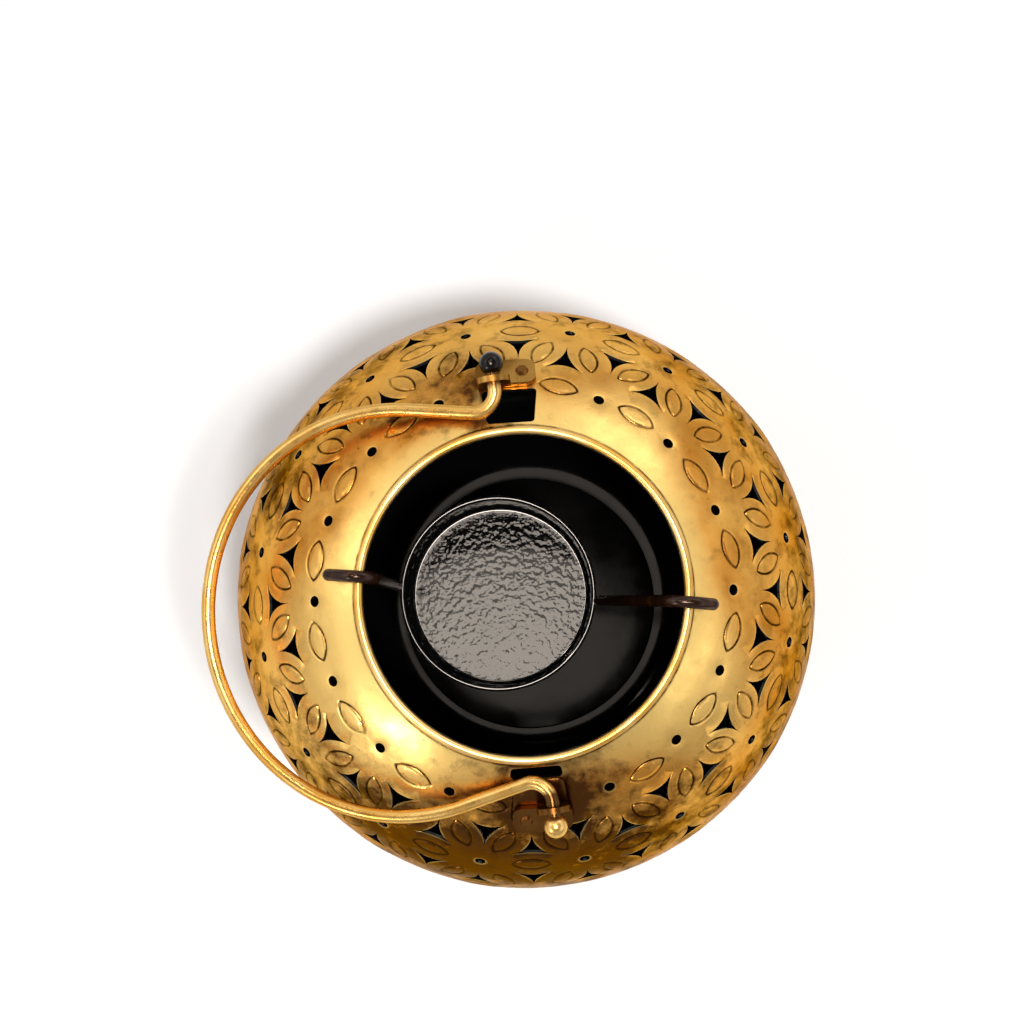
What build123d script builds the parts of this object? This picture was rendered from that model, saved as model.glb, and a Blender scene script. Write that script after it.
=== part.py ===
from build123d import *

import math
import os

# A pierced, flattened-globe tealight lantern with a folding wire bail and a hanging candle cup.
# Millimetres. The origin is the centre of the base's underside and +Z is up. The bail turns about
# a line along Y and lies folded towards -X.

# Globe of two half shells, each a side arc that runs into a domed shoulder
globe_radius = 62.5
side_arc_radius = 47.0
shoulder_drop = 20.0
sheet = 0.8
lap_length = 3.5
lap_clearance = 0.05

# Base plate: a pressed disc with a raised floor and a hollow-cornered flange up the shell's inside
base_opening_radius = 32.5
base_sheet = 0.9
base_rim_overhang = 0.7
floor_rise = 2.8
floor_step = 0.5
floor_fillet = 0.3
flange_radius = 38.4
flange_film = 0.05

# Mouth with its wire bead
mouth_radius = 30.7
lip_wire = 1.8
lip_bite = 0.5
lip_film = 0.03

# Pierced pattern: rows of dots with two rows of hollow-sided stars between them, counted from the equator
repeats = 16
pattern_turn = 16.1
upper_dot_rows = 3
upper_star_rows = 4
lower_dot_rows = 2
lower_star_rows = 2
lower_turn = 5.625
first_dot_row = 9.2
dot_row_spacing = 19.0
dot_diameter = 1.9
star_near_dots = 6.5
star_far_from_dots = 8.0
star_width = 7.7
star_length = 7.0
star_hollow = 1.0
pierce_reach = 2.0

# Bail lugs: a foot on the shoulder, an upright ear, and a window in the shell in front of it
lug_place = 47.4
lug_offset = 2.4
lug_width = 11.7
lug_foot_length = 6.4
lug_sheet = 1.0
lug_corner = 2.0
lug_film = 0.03
ear_width = 6.4
ear_height = 9.5
ear_sheet = 1.1
window_width = 10.0
window_length = 8.0
front_window_length = 2.4
window_corner = 0.8
window_gap = 0.4
lug_dot_margin = 9.0

# Rivets of the lugs
rivet_shank = 1.6
rivet_head = 2.6
rivet_head_height = 0.6
rivet_offset = 5.6
rivet_clearance = 0.05

# Bail
bail_wire_diameter = 2.7
bail_reach = 66.0
bail_arc_radius = 39.5
bail_curl_radius = 4.0
bail_curl_setback = 1.0
bail_hole_clearance = 0.1
bail_rest_gap = 0.4
bead_diameter = 4.6
bead_ear_gap = 0.35
bead_film = 0.02

# Candle cup for a standard tealight
cup_bore_radius = 20.5
cup_wall = 0.9
cup_depth = 17.0
cup_corner = 3.0
cup_rim_wire = 1.1
cup_rim_inset = 0.05
cup_hang = 48.25
cup_shift = 6.5

# Hooks of the cup
hook_wire = 2.4
hook_line_turn = -12.4
hook_line_offset = 1.0
hook_seat = 0.35
hook_rest_gap = 0.3
hook_bend = 3.2
hook_leg = 12.0
hook_over_lip = 1.5
hook_tip_gap = 0.6
left_tip_radius = 38.3
right_tip_radius = 36.9
right_hook_inset = 2.6
right_hook_knee = 3.0

# Worked-out shape of the globe
side_centre = globe_radius - side_arc_radius
shoulder_radius = side_arc_radius + math.hypot(side_centre, shoulder_drop)
junction_tilt = math.degrees(math.atan2(shoulder_drop, side_centre))
junction_length = side_arc_radius * math.radians(junction_tilt)
base_depth = math.sqrt(shoulder_radius**2 - base_opening_radius**2) - shoulder_drop
equator_height = base_sheet + base_depth
lug_turns = (90, 270)


def shoulder_height(radius, offset=0.0):
    """Height above the equator of the domed shoulder, moved out by an offset, at a radius."""
    return math.sqrt((shoulder_radius + offset) ** 2 - radius**2) - shoulder_drop


def outer_wall(arc_length):
    """Radius, height above the equator and tilt of the normal at a length along the outer wall."""
    if arc_length < junction_length:
        tilt = arc_length / side_arc_radius
        radius = side_centre + side_arc_radius * math.cos(tilt)
        return radius, side_arc_radius * math.sin(tilt), tilt
    tilt = math.radians(junction_tilt) + (arc_length - junction_length) / shoulder_radius
    return shoulder_radius * math.cos(tilt), shoulder_radius * math.sin(tilt) - shoulder_drop, tilt


def wall_gap(radius, height):
    """Distance from the outer wall to a point at a radius and a height above the equator."""
    if math.degrees(math.atan2(height, radius - side_centre)) < junction_tilt:
        return math.hypot(radius - side_centre, height) - side_arc_radius
    return math.hypot(radius, height + shoulder_drop) - shoulder_radius


def skin_plane(arc_length, turn, half=1, along=0.0):
    """Plane that touches the outer wall, X around the lantern and Z outwards, moved around by a length."""
    radius, height, tilt = outer_wall(arc_length)
    angle = math.radians(turn) + along / radius
    outward = (math.cos(tilt) * math.cos(angle), math.cos(tilt) * math.sin(angle), half * math.sin(tilt))
    place = (radius * math.cos(angle), radius * math.sin(angle), equator_height + half * height)
    return Plane(origin=place, x_dir=(-math.sin(angle), math.cos(angle), 0), z_dir=outward)


def arc_pair(half, offset, from_tilt, to_tilt):
    """Side arc and shoulder arc of a half shell at an offset from the outer wall."""
    side = CenterArc(
        (side_centre, equator_height),
        side_arc_radius + offset,
        half * from_tilt,
        half * (junction_tilt - from_tilt),
    )
    shoulder = CenterArc(
        (0, equator_height - half * shoulder_drop),
        shoulder_radius + offset,
        half * junction_tilt,
        half * (to_tilt - junction_tilt),
    )
    return side, shoulder


def dome_face(offset):
    """Half section of the whole dome above the equator, out to an offset from the outer wall."""
    with BuildSketch(Plane.XZ) as section:
        with BuildLine():
            side, shoulder = arc_pair(1, offset, 0, 90)
            Polyline(shoulder @ 1, (0, equator_height), side @ 0)
        make_face()
    return section.sketch


def row_turns(half_steps, offset=0.0):
    """Angles round the lantern of one row of the pattern, moved on by half steps and by an angle."""
    return [pattern_turn + offset + (copy + half_steps / 2) * 360 / repeats for copy in range(repeats)]


def star_sketch(planes, apex):
    """Hollow-sided stars of three arcs on the planes, the apex along the planes' Y or against it."""
    tip = Vector(0, apex * star_length * 2 / 3)
    left = Vector(-star_width / 2, -apex * star_length / 3)
    right = Vector(star_width / 2, -apex * star_length / 3)
    with BuildSketch(*planes) as stars:
        with BuildLine():
            for start, end in ((tip, left), (left, right), (right, tip)):
                middle = (start + end) / 2
                ThreePointArc(start, middle - middle.normalized() * star_hollow, end)
        make_face()
    return stars.sketch


def pierce(half, dot_row_count, star_row_count, offset=0.0, lugs=()):
    """Cut rows of stars and dots through a half shell, with no dots close to the lugs."""
    dot_rows = [first_dot_row + row * dot_row_spacing for row in range(3)]
    star_rows = (
        (dot_rows[0] + star_far_from_dots, 1, 1),
        (dot_rows[1] - star_near_dots, 0, -1),
        (dot_rows[1] + star_near_dots, 0, 1),
        (dot_rows[2] - star_far_from_dots, 1, -1),
    )
    for arc_length, half_steps, apex in star_rows[:star_row_count]:
        planes = [skin_plane(arc_length, turn, half) for turn in row_turns(half_steps, offset)]
        extrude(star_sketch(planes, apex * half), amount=pierce_reach, both=True, mode=Mode.SUBTRACT)
    for row, arc_length in enumerate(dot_rows[:dot_row_count]):
        turns = row_turns(row % 2, offset)
        if arc_length == dot_rows[-1]:
            turns = [turn for turn in turns if all(abs(turn - lug) > lug_dot_margin for lug in lugs)]
        with BuildSketch(*[skin_plane(arc_length, turn, half) for turn in turns]) as dots:
            Circle(dot_diameter / 2)
        extrude(dots.sketch, amount=pierce_reach, both=True, mode=Mode.SUBTRACT)


def rivet_plane(turn):
    """Plane on the outer wall under a lug's rivet."""
    return skin_plane(lug_place - lug_foot_length / 2, turn, along=-rivet_offset)


# Upper half shell: a spun wall, pierced, with a window in front of each lug
lip_centre_radius = mouth_radius + lip_wire / 2
mouth_tilt = math.degrees(math.acos((lip_centre_radius - lip_bite) / shoulder_radius))
window_end = lug_place + window_gap + window_length
with BuildPart() as upper_shell:
    with BuildSketch(Plane.XZ):
        with BuildLine():
            outer = arc_pair(1, 0, 0, mouth_tilt)
            inner = arc_pair(1, -sheet, 0, mouth_tilt)
            Line(outer[0] @ 0, inner[0] @ 0)
            Line(outer[1] @ 1, inner[1] @ 1)
        make_face()
    revolve(axis=Axis.Z)
    pierce(1, upper_dot_rows, upper_star_rows, lugs=lug_turns)
    for turn, length in zip(lug_turns, (window_length, front_window_length)):
        with BuildSketch(skin_plane(window_end - length / 2, turn, along=-lug_offset)):
            RectangleRounded(window_width, length, window_corner)
        extrude(amount=pierce_reach, both=True, mode=Mode.SUBTRACT)
    with BuildSketch(*[rivet_plane(turn) for turn in lug_turns]):
        Circle(rivet_shank / 2 + rivet_clearance)
    extrude(amount=pierce_reach, both=True, mode=Mode.SUBTRACT)
upper_shell.part.label = "upper_shell"

# Lower half shell: the same wall, stepped in at the equator to slip inside the upper half
base_tilt = math.degrees(math.asin((base_depth + shoulder_drop) / shoulder_radius))
base_inner_tilt = math.degrees(math.asin((base_depth + shoulder_drop) / (shoulder_radius - sheet)))
lap_outer_radius = side_arc_radius - sheet - lap_clearance
lap_tilt = math.degrees(lap_length / side_arc_radius)
with BuildPart() as lower_shell:
    with BuildSketch(Plane.XZ):
        with BuildLine():
            outer = arc_pair(-1, 0, 0, base_tilt)
            inner = arc_pair(-1, -sheet, lap_tilt, base_inner_tilt)
            lap_outer = CenterArc((side_centre, equator_height), lap_outer_radius, 0, lap_tilt)
            lap_inner = CenterArc(
                (side_centre, equator_height), lap_outer_radius - sheet, -lap_tilt, 2 * lap_tilt
            )
            Line(outer[0] @ 0, lap_outer @ 0)
            Line(lap_outer @ 1, lap_inner @ 1)
            Line(lap_inner @ 0, inner[0] @ 0)
            Line(outer[1] @ 1, inner[1] @ 1)
        make_face()
    revolve(axis=Axis.Z)
    pierce(-1, lower_dot_rows, lower_star_rows, lower_turn)
lower_shell.part.label = "lower_shell"

# Base plate: a rim under the shell's edge, a floor pressed up inside it, and a flange on the shell's inside
flange_back = shoulder_radius - sheet - flange_film
flange_low = -math.degrees(math.asin((base_depth + shoulder_drop) / flange_back))
flange_high = -math.degrees(math.acos(flange_radius / flange_back))
rim_edge = base_opening_radius + base_rim_overhang
floor_top = base_sheet + floor_rise
with BuildPart() as base_plate:
    with BuildSketch(Plane.XZ):
        with BuildLine():
            back = CenterArc(
                (0, equator_height + shoulder_drop), flange_back, flange_low, flange_high - flange_low
            )
            floor_edge = (back @ 0).X
            hollow = TangentArc((floor_edge, floor_top - floor_step), back @ 1, tangent=(1, 0))
            Polyline(
                hollow @ 0,
                (floor_edge, floor_top),
                (0, floor_top),
                (0, floor_rise),
                (floor_edge - base_sheet, floor_rise),
                (floor_edge - base_sheet, 0),
                (rim_edge, 0),
                (rim_edge, base_sheet),
                back @ 0,
            )
        make_face()
    revolve(axis=Axis.Z)
    floor_rim = base_plate.faces().filter_by(GeomType.PLANE).sort_by(Axis.Z)[-1].edges()
    fillet(floor_rim, floor_fillet)
base_plate.part.label = "base_plate"

# Lip ring: a wire bead, slotted to grip the edge of the mouth
lip_height = equator_height + shoulder_height(lip_centre_radius, -sheet / 2)
slot_turn = math.degrees((lip_wire + lip_bite) / shoulder_radius)
with BuildPart() as lip_ring:
    with BuildSketch(Plane.XZ):
        with Locations((lip_centre_radius, lip_height)):
            Circle(lip_wire / 2)
        with BuildLine():
            dome_centre = (0, equator_height - shoulder_drop)
            slot_outer = CenterArc(dome_centre, shoulder_radius + lip_film, mouth_tilt, -slot_turn)
            slot_inner = CenterArc(dome_centre, shoulder_radius - sheet - lip_film, mouth_tilt, -slot_turn)
            Line(slot_outer @ 0, slot_inner @ 0)
            Line(slot_outer @ 1, slot_inner @ 1)
        make_face(mode=Mode.SUBTRACT)
    revolve(axis=Axis.Z)
lip_ring.part.label = "lip_ring"

# Bail lugs: an angle of strip, its foot bent to the shoulder and its ear upright
ear_face = outer_wall(lug_place)[0]
pivot_height = equator_height + shoulder_height(ear_face) + ear_height - ear_width / 2
with BuildPart() as bail_lug_back:
    with BuildSketch(skin_plane(lug_place - lug_foot_length / 2, lug_turns[0], along=-lug_offset)):
        RectangleRounded(lug_width, lug_foot_length, lug_corner)
    extrude(amount=2 * lug_sheet, both=True)
    revolve(dome_face(lug_film + lug_sheet), axis=Axis.Z, mode=Mode.INTERSECT)
    with BuildSketch(Plane.XZ.offset(-ear_face)):
        with Locations((0, pivot_height)):
            Circle(ear_width / 2)
            Rectangle(ear_width, ear_height, align=(Align.CENTER, Align.MAX))
            Circle(bail_wire_diameter / 2 + bail_hole_clearance, mode=Mode.SUBTRACT)
    extrude(amount=-ear_sheet)
    revolve(dome_face(lug_film), axis=Axis.Z, mode=Mode.SUBTRACT)
    with BuildSketch(rivet_plane(lug_turns[0])):
        Circle(rivet_shank / 2 + rivet_clearance)
    extrude(amount=2 * lug_sheet, both=True, mode=Mode.SUBTRACT)
bail_lug_back.part.label = "bail_lug_back"

with BuildPart() as bail_lug_front:
    add(bail_lug_back.part.rotate(Axis.Z, lug_turns[1] - lug_turns[0]))
bail_lug_front.part.label = "bail_lug_front"

# Rivets: a tail inside the shell, a shank, and a round head on the lug's foot
foot_top = lug_film + lug_sheet
with BuildPart() as lug_rivets:
    for turn in lug_turns:
        seat = rivet_plane(turn)
        with BuildSketch(seat.offset(-sheet - rivet_clearance)):
            Circle(rivet_head / 2)
        extrude(amount=-rivet_head_height)
        with BuildSketch(seat.offset(-sheet - rivet_clearance)):
            Circle(rivet_shank / 2)
        extrude(amount=sheet + rivet_clearance + foot_top)
        with BuildSketch(seat.offset(foot_top)):
            Circle(rivet_head / 2)
        extrude(amount=rivet_head_height, taper=30)
lug_rivets.part.label = "lug_rivets"

# Bail: straight through the ears, curled in, then out along a long arch
curl_start = ear_face - bail_curl_setback
arch_centre = bail_reach - bail_arc_radius
curl_to_arch = math.hypot(arch_centre - bail_curl_radius, curl_start)
curl_lean = math.atan2(arch_centre - bail_curl_radius, curl_start)
curl_lean -= math.acos((bail_arc_radius + bail_curl_radius) / curl_to_arch)
run_length = math.sqrt(curl_to_arch**2 - (bail_arc_radius + bail_curl_radius) ** 2)
curl_sweep = 90 + math.degrees(curl_lean)
ear_back = ear_face + ear_sheet
bail_end = ear_back + bead_ear_gap + bead_diameter
with BuildLine() as bail_route:
    start = Line((0, bail_end), (0, curl_start))
    curl = JernArc(start @ 1, start % 1, bail_curl_radius, curl_sweep)
    run = PolarLine(curl @ 1, run_length, direction=curl % 1)
    arch = JernArc(run @ 1, run % 1, bail_arc_radius, -2 * curl_sweep)
    back_run = PolarLine(arch @ 1, run_length, direction=arch % 1)
    back_curl = JernArc(back_run @ 1, back_run % 1, bail_curl_radius, curl_sweep)
    Line(back_curl @ 1, (0, -bail_end))


def bail_gap(fold):
    """Least gap between the bail and the outer wall when it lies at an angle below level."""
    gaps = []
    for step in range(401):
        point = bail_route.wire() @ (step / 400)
        height = pivot_height - equator_height - point.X * math.sin(fold)
        gaps.append(wall_gap(math.hypot(point.X * math.cos(fold), point.Y), height))
    return min(gaps) - bail_wire_diameter / 2


fold_low, fold_high = 0.0, math.radians(60)
for halving in range(24):
    fold = (fold_low + fold_high) / 2
    if bail_gap(fold) > bail_rest_gap:
        fold_low = fold
    else:
        fold_high = fold
bail_plane = Plane(
    origin=(0, 0, pivot_height),
    x_dir=(-math.cos(fold), 0, -math.sin(fold)),
    z_dir=(math.sin(fold), 0, -math.cos(fold)),
)
print("bail folds", round(math.degrees(fold), 2), "degrees down, pivot height", round(pivot_height, 3))

with BuildPart() as bail_wire:
    bail_path = bail_plane.from_local_coords(bail_route.wire())
    with BuildSketch(Plane(origin=bail_path @ 0, z_dir=bail_path % 0)):
        Circle(bail_wire_diameter / 2)
    sweep(path=bail_path)
bail_wire.part.label = "bail_wire"


def end_bead(side):
    """Ball bead on one end of the bail, bored for the wire."""
    with BuildPart() as bead:
        with Locations((0, side * (bail_end - bead_diameter / 2), pivot_height)):
            Sphere(bead_diameter / 2)
            Cylinder(
                bail_wire_diameter / 2 + bead_film,
                2 * bead_diameter,
                rotation=(90, 0, 0),
                mode=Mode.SUBTRACT,
            )
    return bead.part


bail_bead_back = end_bead(1)
bail_bead_back.label = "bail_bead_back"
bail_bead_front = end_bead(-1)
bail_bead_front.label = "bail_bead_front"

# Candle cup: pressed, with a round bottom corner and a rolled rim
hook_line = Vector(1, 0, 0).rotate(Axis.Z, hook_line_turn)
hook_foot = Vector(0, hook_line_offset, 0).rotate(Axis.Z, hook_line_turn)
cup_outer_radius = cup_bore_radius + cup_wall
cup_rim_height = lip_height + lip_wire / 2 - cup_hang
cup_low = cup_rim_height - cup_depth - cup_wall
cup_plane = Plane(origin=hook_foot + hook_line * -cup_shift + Vector(0, 0, cup_low))
with BuildPart() as candle_cup:
    with BuildSketch(cup_plane):
        Circle(cup_outer_radius)
    extrude(amount=cup_depth + cup_wall - cup_rim_wire / 2)
    fillet(candle_cup.edges().group_by(Axis.Z)[0], cup_corner)
    with Locations(cup_plane.offset(cup_depth + cup_wall - cup_rim_wire / 2).location):
        Torus(cup_bore_radius + cup_rim_inset + cup_rim_wire / 2, cup_rim_wire / 2)
    with BuildSketch(cup_plane.offset(cup_wall)):
        Circle(cup_bore_radius)
    extrude(amount=cup_depth, mode=Mode.SUBTRACT)
    fillet(candle_cup.faces().filter_by(GeomType.PLANE).group_by(Axis.Z)[1].edges(), cup_corner - cup_wall)
candle_cup.part.label = "candle_cup"

# Hooks: bent wires soldered down the cup's sides, over the lip and out along the shoulder
hook_plane = Plane(origin=hook_foot, x_dir=hook_line, z_dir=hook_line.cross(Vector(0, 0, 1)))
hook_radius = hook_wire / 2
hook_top = lip_height + lip_wire / 2 + hook_rest_gap + hook_radius
leg_reach = cup_outer_radius + hook_radius - hook_seat
lip_pass = lip_centre_radius + hook_over_lip


def tip_height(radius):
    """Height of a hook's tip over the shoulder."""
    return equator_height + shoulder_height(radius, hook_radius + hook_tip_gap)


def cup_hook(points):
    """Round wire bent along the points of the hooks' plane, seated against the cup's side."""
    with BuildLine() as route:
        FilletPolyline(*points, radius=hook_bend)
    path = hook_plane.from_local_coords(route.wire())
    with BuildPart() as hook:
        with BuildSketch(Plane(origin=path @ 0, z_dir=path % 0)) as section:
            Circle(hook_radius)
        sweep(section.sketch, path=path)
        ends = hook.edges().filter_by(GeomType.CIRCLE).sort_by_distance(path @ 1)
        fillet(ends[0], hook_radius * 0.8)
        add(candle_cup.part, mode=Mode.SUBTRACT)
    return hook.part


left_leg = -cup_shift - leg_reach
cup_hook_left = cup_hook(
    [
        (left_leg, cup_rim_height - hook_leg),
        (left_leg, hook_top),
        (-lip_pass, hook_top),
        (-left_tip_radius, tip_height(left_tip_radius)),
    ]
)
cup_hook_left.label = "cup_hook_left"

right_leg = -cup_shift + leg_reach
cup_hook_right = cup_hook(
    [
        (right_leg, cup_rim_height - hook_leg),
        (right_leg, cup_rim_height + right_hook_knee),
        (mouth_radius - right_hook_inset, hook_top),
        (lip_pass, hook_top),
        (right_tip_radius, tip_height(right_tip_radius)),
    ]
)
cup_hook_right.label = "cup_hook_right"

os.makedirs("parts", exist_ok=True)
for piece in (
    upper_shell.part,
    lower_shell.part,
    base_plate.part,
    lip_ring.part,
    bail_lug_back.part,
    bail_lug_front.part,
    lug_rivets.part,
    bail_wire.part,
    bail_bead_back,
    bail_bead_front,
    candle_cup.part,
    cup_hook_left,
    cup_hook_right,
):
    export_step(piece, f"parts/{piece.label}.step")
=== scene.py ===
"""Looks of the pierced hanging lantern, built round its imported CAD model.

Sizes are millimetres in the part's own frame: the origin is the centre of the base's underside, +Z is up,
the bail turns about a line along Y and lies folded towards -X. Only make_piece turns them into metres.
"""

import logging
import math
from dataclasses import dataclass
from enum import Enum

import bpy
import numpy as np
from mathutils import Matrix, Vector
from mathutils.geometry import delaunay_2d_cdt


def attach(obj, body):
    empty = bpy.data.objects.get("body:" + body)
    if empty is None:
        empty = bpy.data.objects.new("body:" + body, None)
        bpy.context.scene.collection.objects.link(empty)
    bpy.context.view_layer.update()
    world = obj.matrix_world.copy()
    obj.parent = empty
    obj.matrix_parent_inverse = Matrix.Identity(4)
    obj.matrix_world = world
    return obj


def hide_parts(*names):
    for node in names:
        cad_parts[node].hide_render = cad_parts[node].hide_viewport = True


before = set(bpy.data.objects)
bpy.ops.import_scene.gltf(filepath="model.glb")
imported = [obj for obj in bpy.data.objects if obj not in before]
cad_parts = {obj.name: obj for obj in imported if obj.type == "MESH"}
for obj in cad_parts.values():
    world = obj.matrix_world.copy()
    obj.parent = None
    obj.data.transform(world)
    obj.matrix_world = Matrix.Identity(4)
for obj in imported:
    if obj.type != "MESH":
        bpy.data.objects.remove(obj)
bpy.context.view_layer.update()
LOG = logging.getLogger("lantern")
MM = 0.001
TAU = 2 * math.pi
# Places nearer than this, in millimetres, are one place
SAME_PLACE = 1e-4
# Edges bent by more than this show sharp
SHARP_FROM = math.radians(40)


class Body(Enum):
    """The CAD bodies that pieces ride on."""

    LANTERN = "lantern"
    BAIL = "bail"
    CUP = "cup"


class Half(Enum):
    """The two half shells, by the way they rise from the equator."""

    UPPER = 1
    LOWER = -1


# Nodes and colours


def linear(code: str) -> tuple[float, float, float, float]:
    """Turn an sRGB hex colour into linear RGBA.

    Args:
        code: Colour such as "#C08A34".

    Returns:
        Linear red, green, blue and an alpha of 1.
    """
    srgb = np.array([int(code[place : place + 2], 16) for place in (1, 3, 5)]) / 255
    rgb = np.where(srgb <= 0.04045, srgb / 12.92, ((srgb + 0.055) / 1.055) ** 2.4)
    return (*(float(value) for value in rgb), 1.0)


def add_node(tree: bpy.types.NodeTree, kind: str, inputs: dict | None = None, **settings) -> bpy.types.Node:
    """Add one shader node with its settings, values and links.

    Args:
        tree: The material's or world's node tree.
        kind: The node's type, without the leading ShaderNode.
        inputs: Input name or number to a value, or to the output socket that feeds it.
        **settings: The node's own properties.

    Returns:
        The new node.
    """
    node = tree.nodes.new("ShaderNode" + kind)
    for name, value in settings.items():
        setattr(node, name, value)
    for key, value in (inputs or {}).items():
        if isinstance(value, bpy.types.NodeSocket):
            tree.links.new(value, node.inputs[key])
        else:
            node.inputs[key].default_value = value
    return node


def new_material(name: str) -> tuple[bpy.types.Material, bpy.types.NodeTree]:
    """Make an empty node material.

    Args:
        name: The finish's name.

    Returns:
        The material and its cleared node tree.
    """
    material = bpy.data.materials.new(name)
    material.use_nodes = True
    material.node_tree.nodes.clear()
    return material, material.node_tree


# Finishes


@dataclass(frozen=True)
class AntiqueGold:
    """Gold lacquer sprayed on sheet iron, then waxed brown; marked pieces also carry painted light.

    The eye sees a satin metal that goes from pale to deep gold in cloudy patches, brown in the chased lines
    and hollows, with small dark specks where the wax stayed. A range is the part of a noise over which its
    colour comes in.
    """

    name: str = "gold_lacquer_on_iron_wax_painted_light"
    pale: str = "#EDB156"
    deep: str = "#CC8632"
    # Brown of the wax patches and specks, also laid as the painted shade.
    wax: str = "#442413"
    line: str = "#321B07"
    # Pale gold of the painted highlight round the mouth and on cut edges.
    highlight_colour: str = "#FBD580"
    graze: str = "#DAC4A4"
    rough_low: float = 0.24
    rough_high: float = 0.4
    rough_range: tuple[float, float] = (0.3, 0.7)
    cloud_mm: float = 14.0
    cloud_range: tuple[float, float] = (0.35, 0.65)
    patch_mm: float = 4.0
    patch_depth_mm: float = 0.2
    speck_mm: float = 1.3
    speck_depth_mm: float = 0.1
    grain_strength: float = 0.3
    wax_range: tuple[float, float] = (0.53, 0.76)
    wax_share: float = 0.45
    speck_range: tuple[float, float] = (0.66, 0.76)
    speck_share: float = 0.6
    marked: bool = False
    # How the painted shade comes in: ragged, over a range, up to a share.
    shade_raggedness: float = 1.6
    shade_range: tuple[float, float] = (0.25, 0.8)
    shade_share: float = 0.93
    # Share of the painted highlight on cut edges.
    edge_highlight_share: float = 0.35
    wear_range: tuple[float, float] = (0.36, 0.56)
    worn_share: float = 0.45

    def material(self) -> bpy.types.Material:
        """Lay deep gold, wax and specks over pale gold, each where its own noise is high.

        Returns:
            The finish; a marked one also reads the piece's attributes of painted highlight, painted shade,
            edge highlight and chased line.
        """
        material, tree = new_material(self.name)
        place = add_node(tree, "TexCoord").outputs["Object"]
        noises = ((self.cloud_mm, 3.0, 0.55), (self.patch_mm, 5.0, 0.65), (self.speck_mm, 4.0, 0.6))
        cloud, patch, speck = (
            add_node(
                tree,
                "TexNoise",
                {"Vector": place, "Scale": 1 / (size * MM), "Detail": detail, "Roughness": fineness},
            ).outputs["Fac"]
            for size, detail, fineness in noises
        )
        gold = linear(self.pale)
        layers = (
            (cloud, self.cloud_range, 1.0, self.deep),
            (patch, self.wax_range, self.wax_share, self.wax),
            (speck, self.speck_range, self.speck_share, self.wax),
        )
        for noise, (low, high), share, colour in layers:
            cover = add_node(
                tree, "MapRange", {"Value": noise, "From Min": low, "From Max": high, "To Max": share}
            ).outputs["Result"]
            gold = add_node(
                tree, "Mix", {0: cover, 6: gold, 7: linear(colour)}, data_type="RGBA"
            ).outputs[2]
        if self.marked:
            gold = self.lay_marks(tree, gold, patch)
        rough = add_node(
            tree,
            "MapRange",
            {
                "Value": patch,
                "From Min": self.rough_range[0],
                "From Max": self.rough_range[1],
                "To Min": self.rough_low,
                "To Max": self.rough_high,
            },
        ).outputs["Result"]
        grain = add_node(
            tree,
            "Bump",
            {"Height": patch, "Strength": self.grain_strength, "Distance": self.patch_depth_mm * MM},
        ).outputs["Normal"]
        grain = add_node(
            tree,
            "Bump",
            {
                "Height": speck,
                "Strength": self.grain_strength,
                "Distance": self.speck_depth_mm * MM,
                "Normal": grain,
            },
        ).outputs["Normal"]
        shader = add_node(
            tree,
            "BsdfPrincipled",
            {
                "Base Color": gold,
                "Metallic": 1.0,
                "Roughness": rough,
                "Specular Tint": linear(self.graze),
                "Normal": grain,
            },
        )
        add_node(tree, "OutputMaterial", {"Surface": shader.outputs["BSDF"]})
        return material

    def lay_marks(
        self, tree: bpy.types.NodeTree, gold: bpy.types.NodeSocket, patch: bpy.types.NodeSocket
    ) -> bpy.types.NodeSocket:
        """Lay a piece's own marks over the gold: painted highlight, painted shade in wax brown, painted
        highlight on cut edges, brown lines.

        Args:
            tree: The material's node tree.
            gold: The colour so far.
            patch: Noise that makes the painted shade ragged and wears the lines.

        Returns:
            The colour with the marks on it.
        """
        painted_highlight, painted_shade, edge, line = (
            add_node(tree, "Attribute", attribute_name=mark).outputs["Fac"]
            for mark in ("painted_highlight", "painted_shade", "edge", "line")
        )
        # Painted shade, made ragged by the patch noise.
        ragged = add_node(tree, "Math", {0: patch, 1: 0.5}, operation="SUBTRACT").outputs[0]
        ragged = add_node(
            tree, "Math", {0: ragged, 1: self.shade_raggedness, 2: painted_shade}, operation="MULTIPLY_ADD"
        ).outputs[0]
        shade_cover = add_node(
            tree,
            "MapRange",
            {
                "Value": ragged,
                "From Min": self.shade_range[0],
                "From Max": self.shade_range[1],
                "To Max": self.shade_share,
            },
        ).outputs["Result"]
        # Painted highlight on cut edges.
        edge_highlight = add_node(tree, "Math", {0: edge, 1: self.edge_highlight_share}, operation="MULTIPLY").outputs[0]
        wear = add_node(
            tree,
            "MapRange",
            {
                "Value": patch,
                "From Min": self.wear_range[0],
                "From Max": self.wear_range[1],
                "To Min": self.worn_share,
            },
        ).outputs["Result"]
        dark = add_node(tree, "Math", {0: line, 1: wear}, operation="MULTIPLY", use_clamp=True).outputs[0]
        # Painted highlight, painted shade in wax brown, painted edge highlight, then the chased lines'
        # brown.
        layers = ((painted_highlight, self.highlight_colour), (shade_cover, self.wax), (edge_highlight, self.highlight_colour), (dark, self.line))
        for cover, colour in layers:
            gold = add_node(
                tree, "Mix", {0: cover, 6: gold, 7: linear(colour)}, data_type="RGBA"
            ).outputs[2]
        return gold


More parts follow.
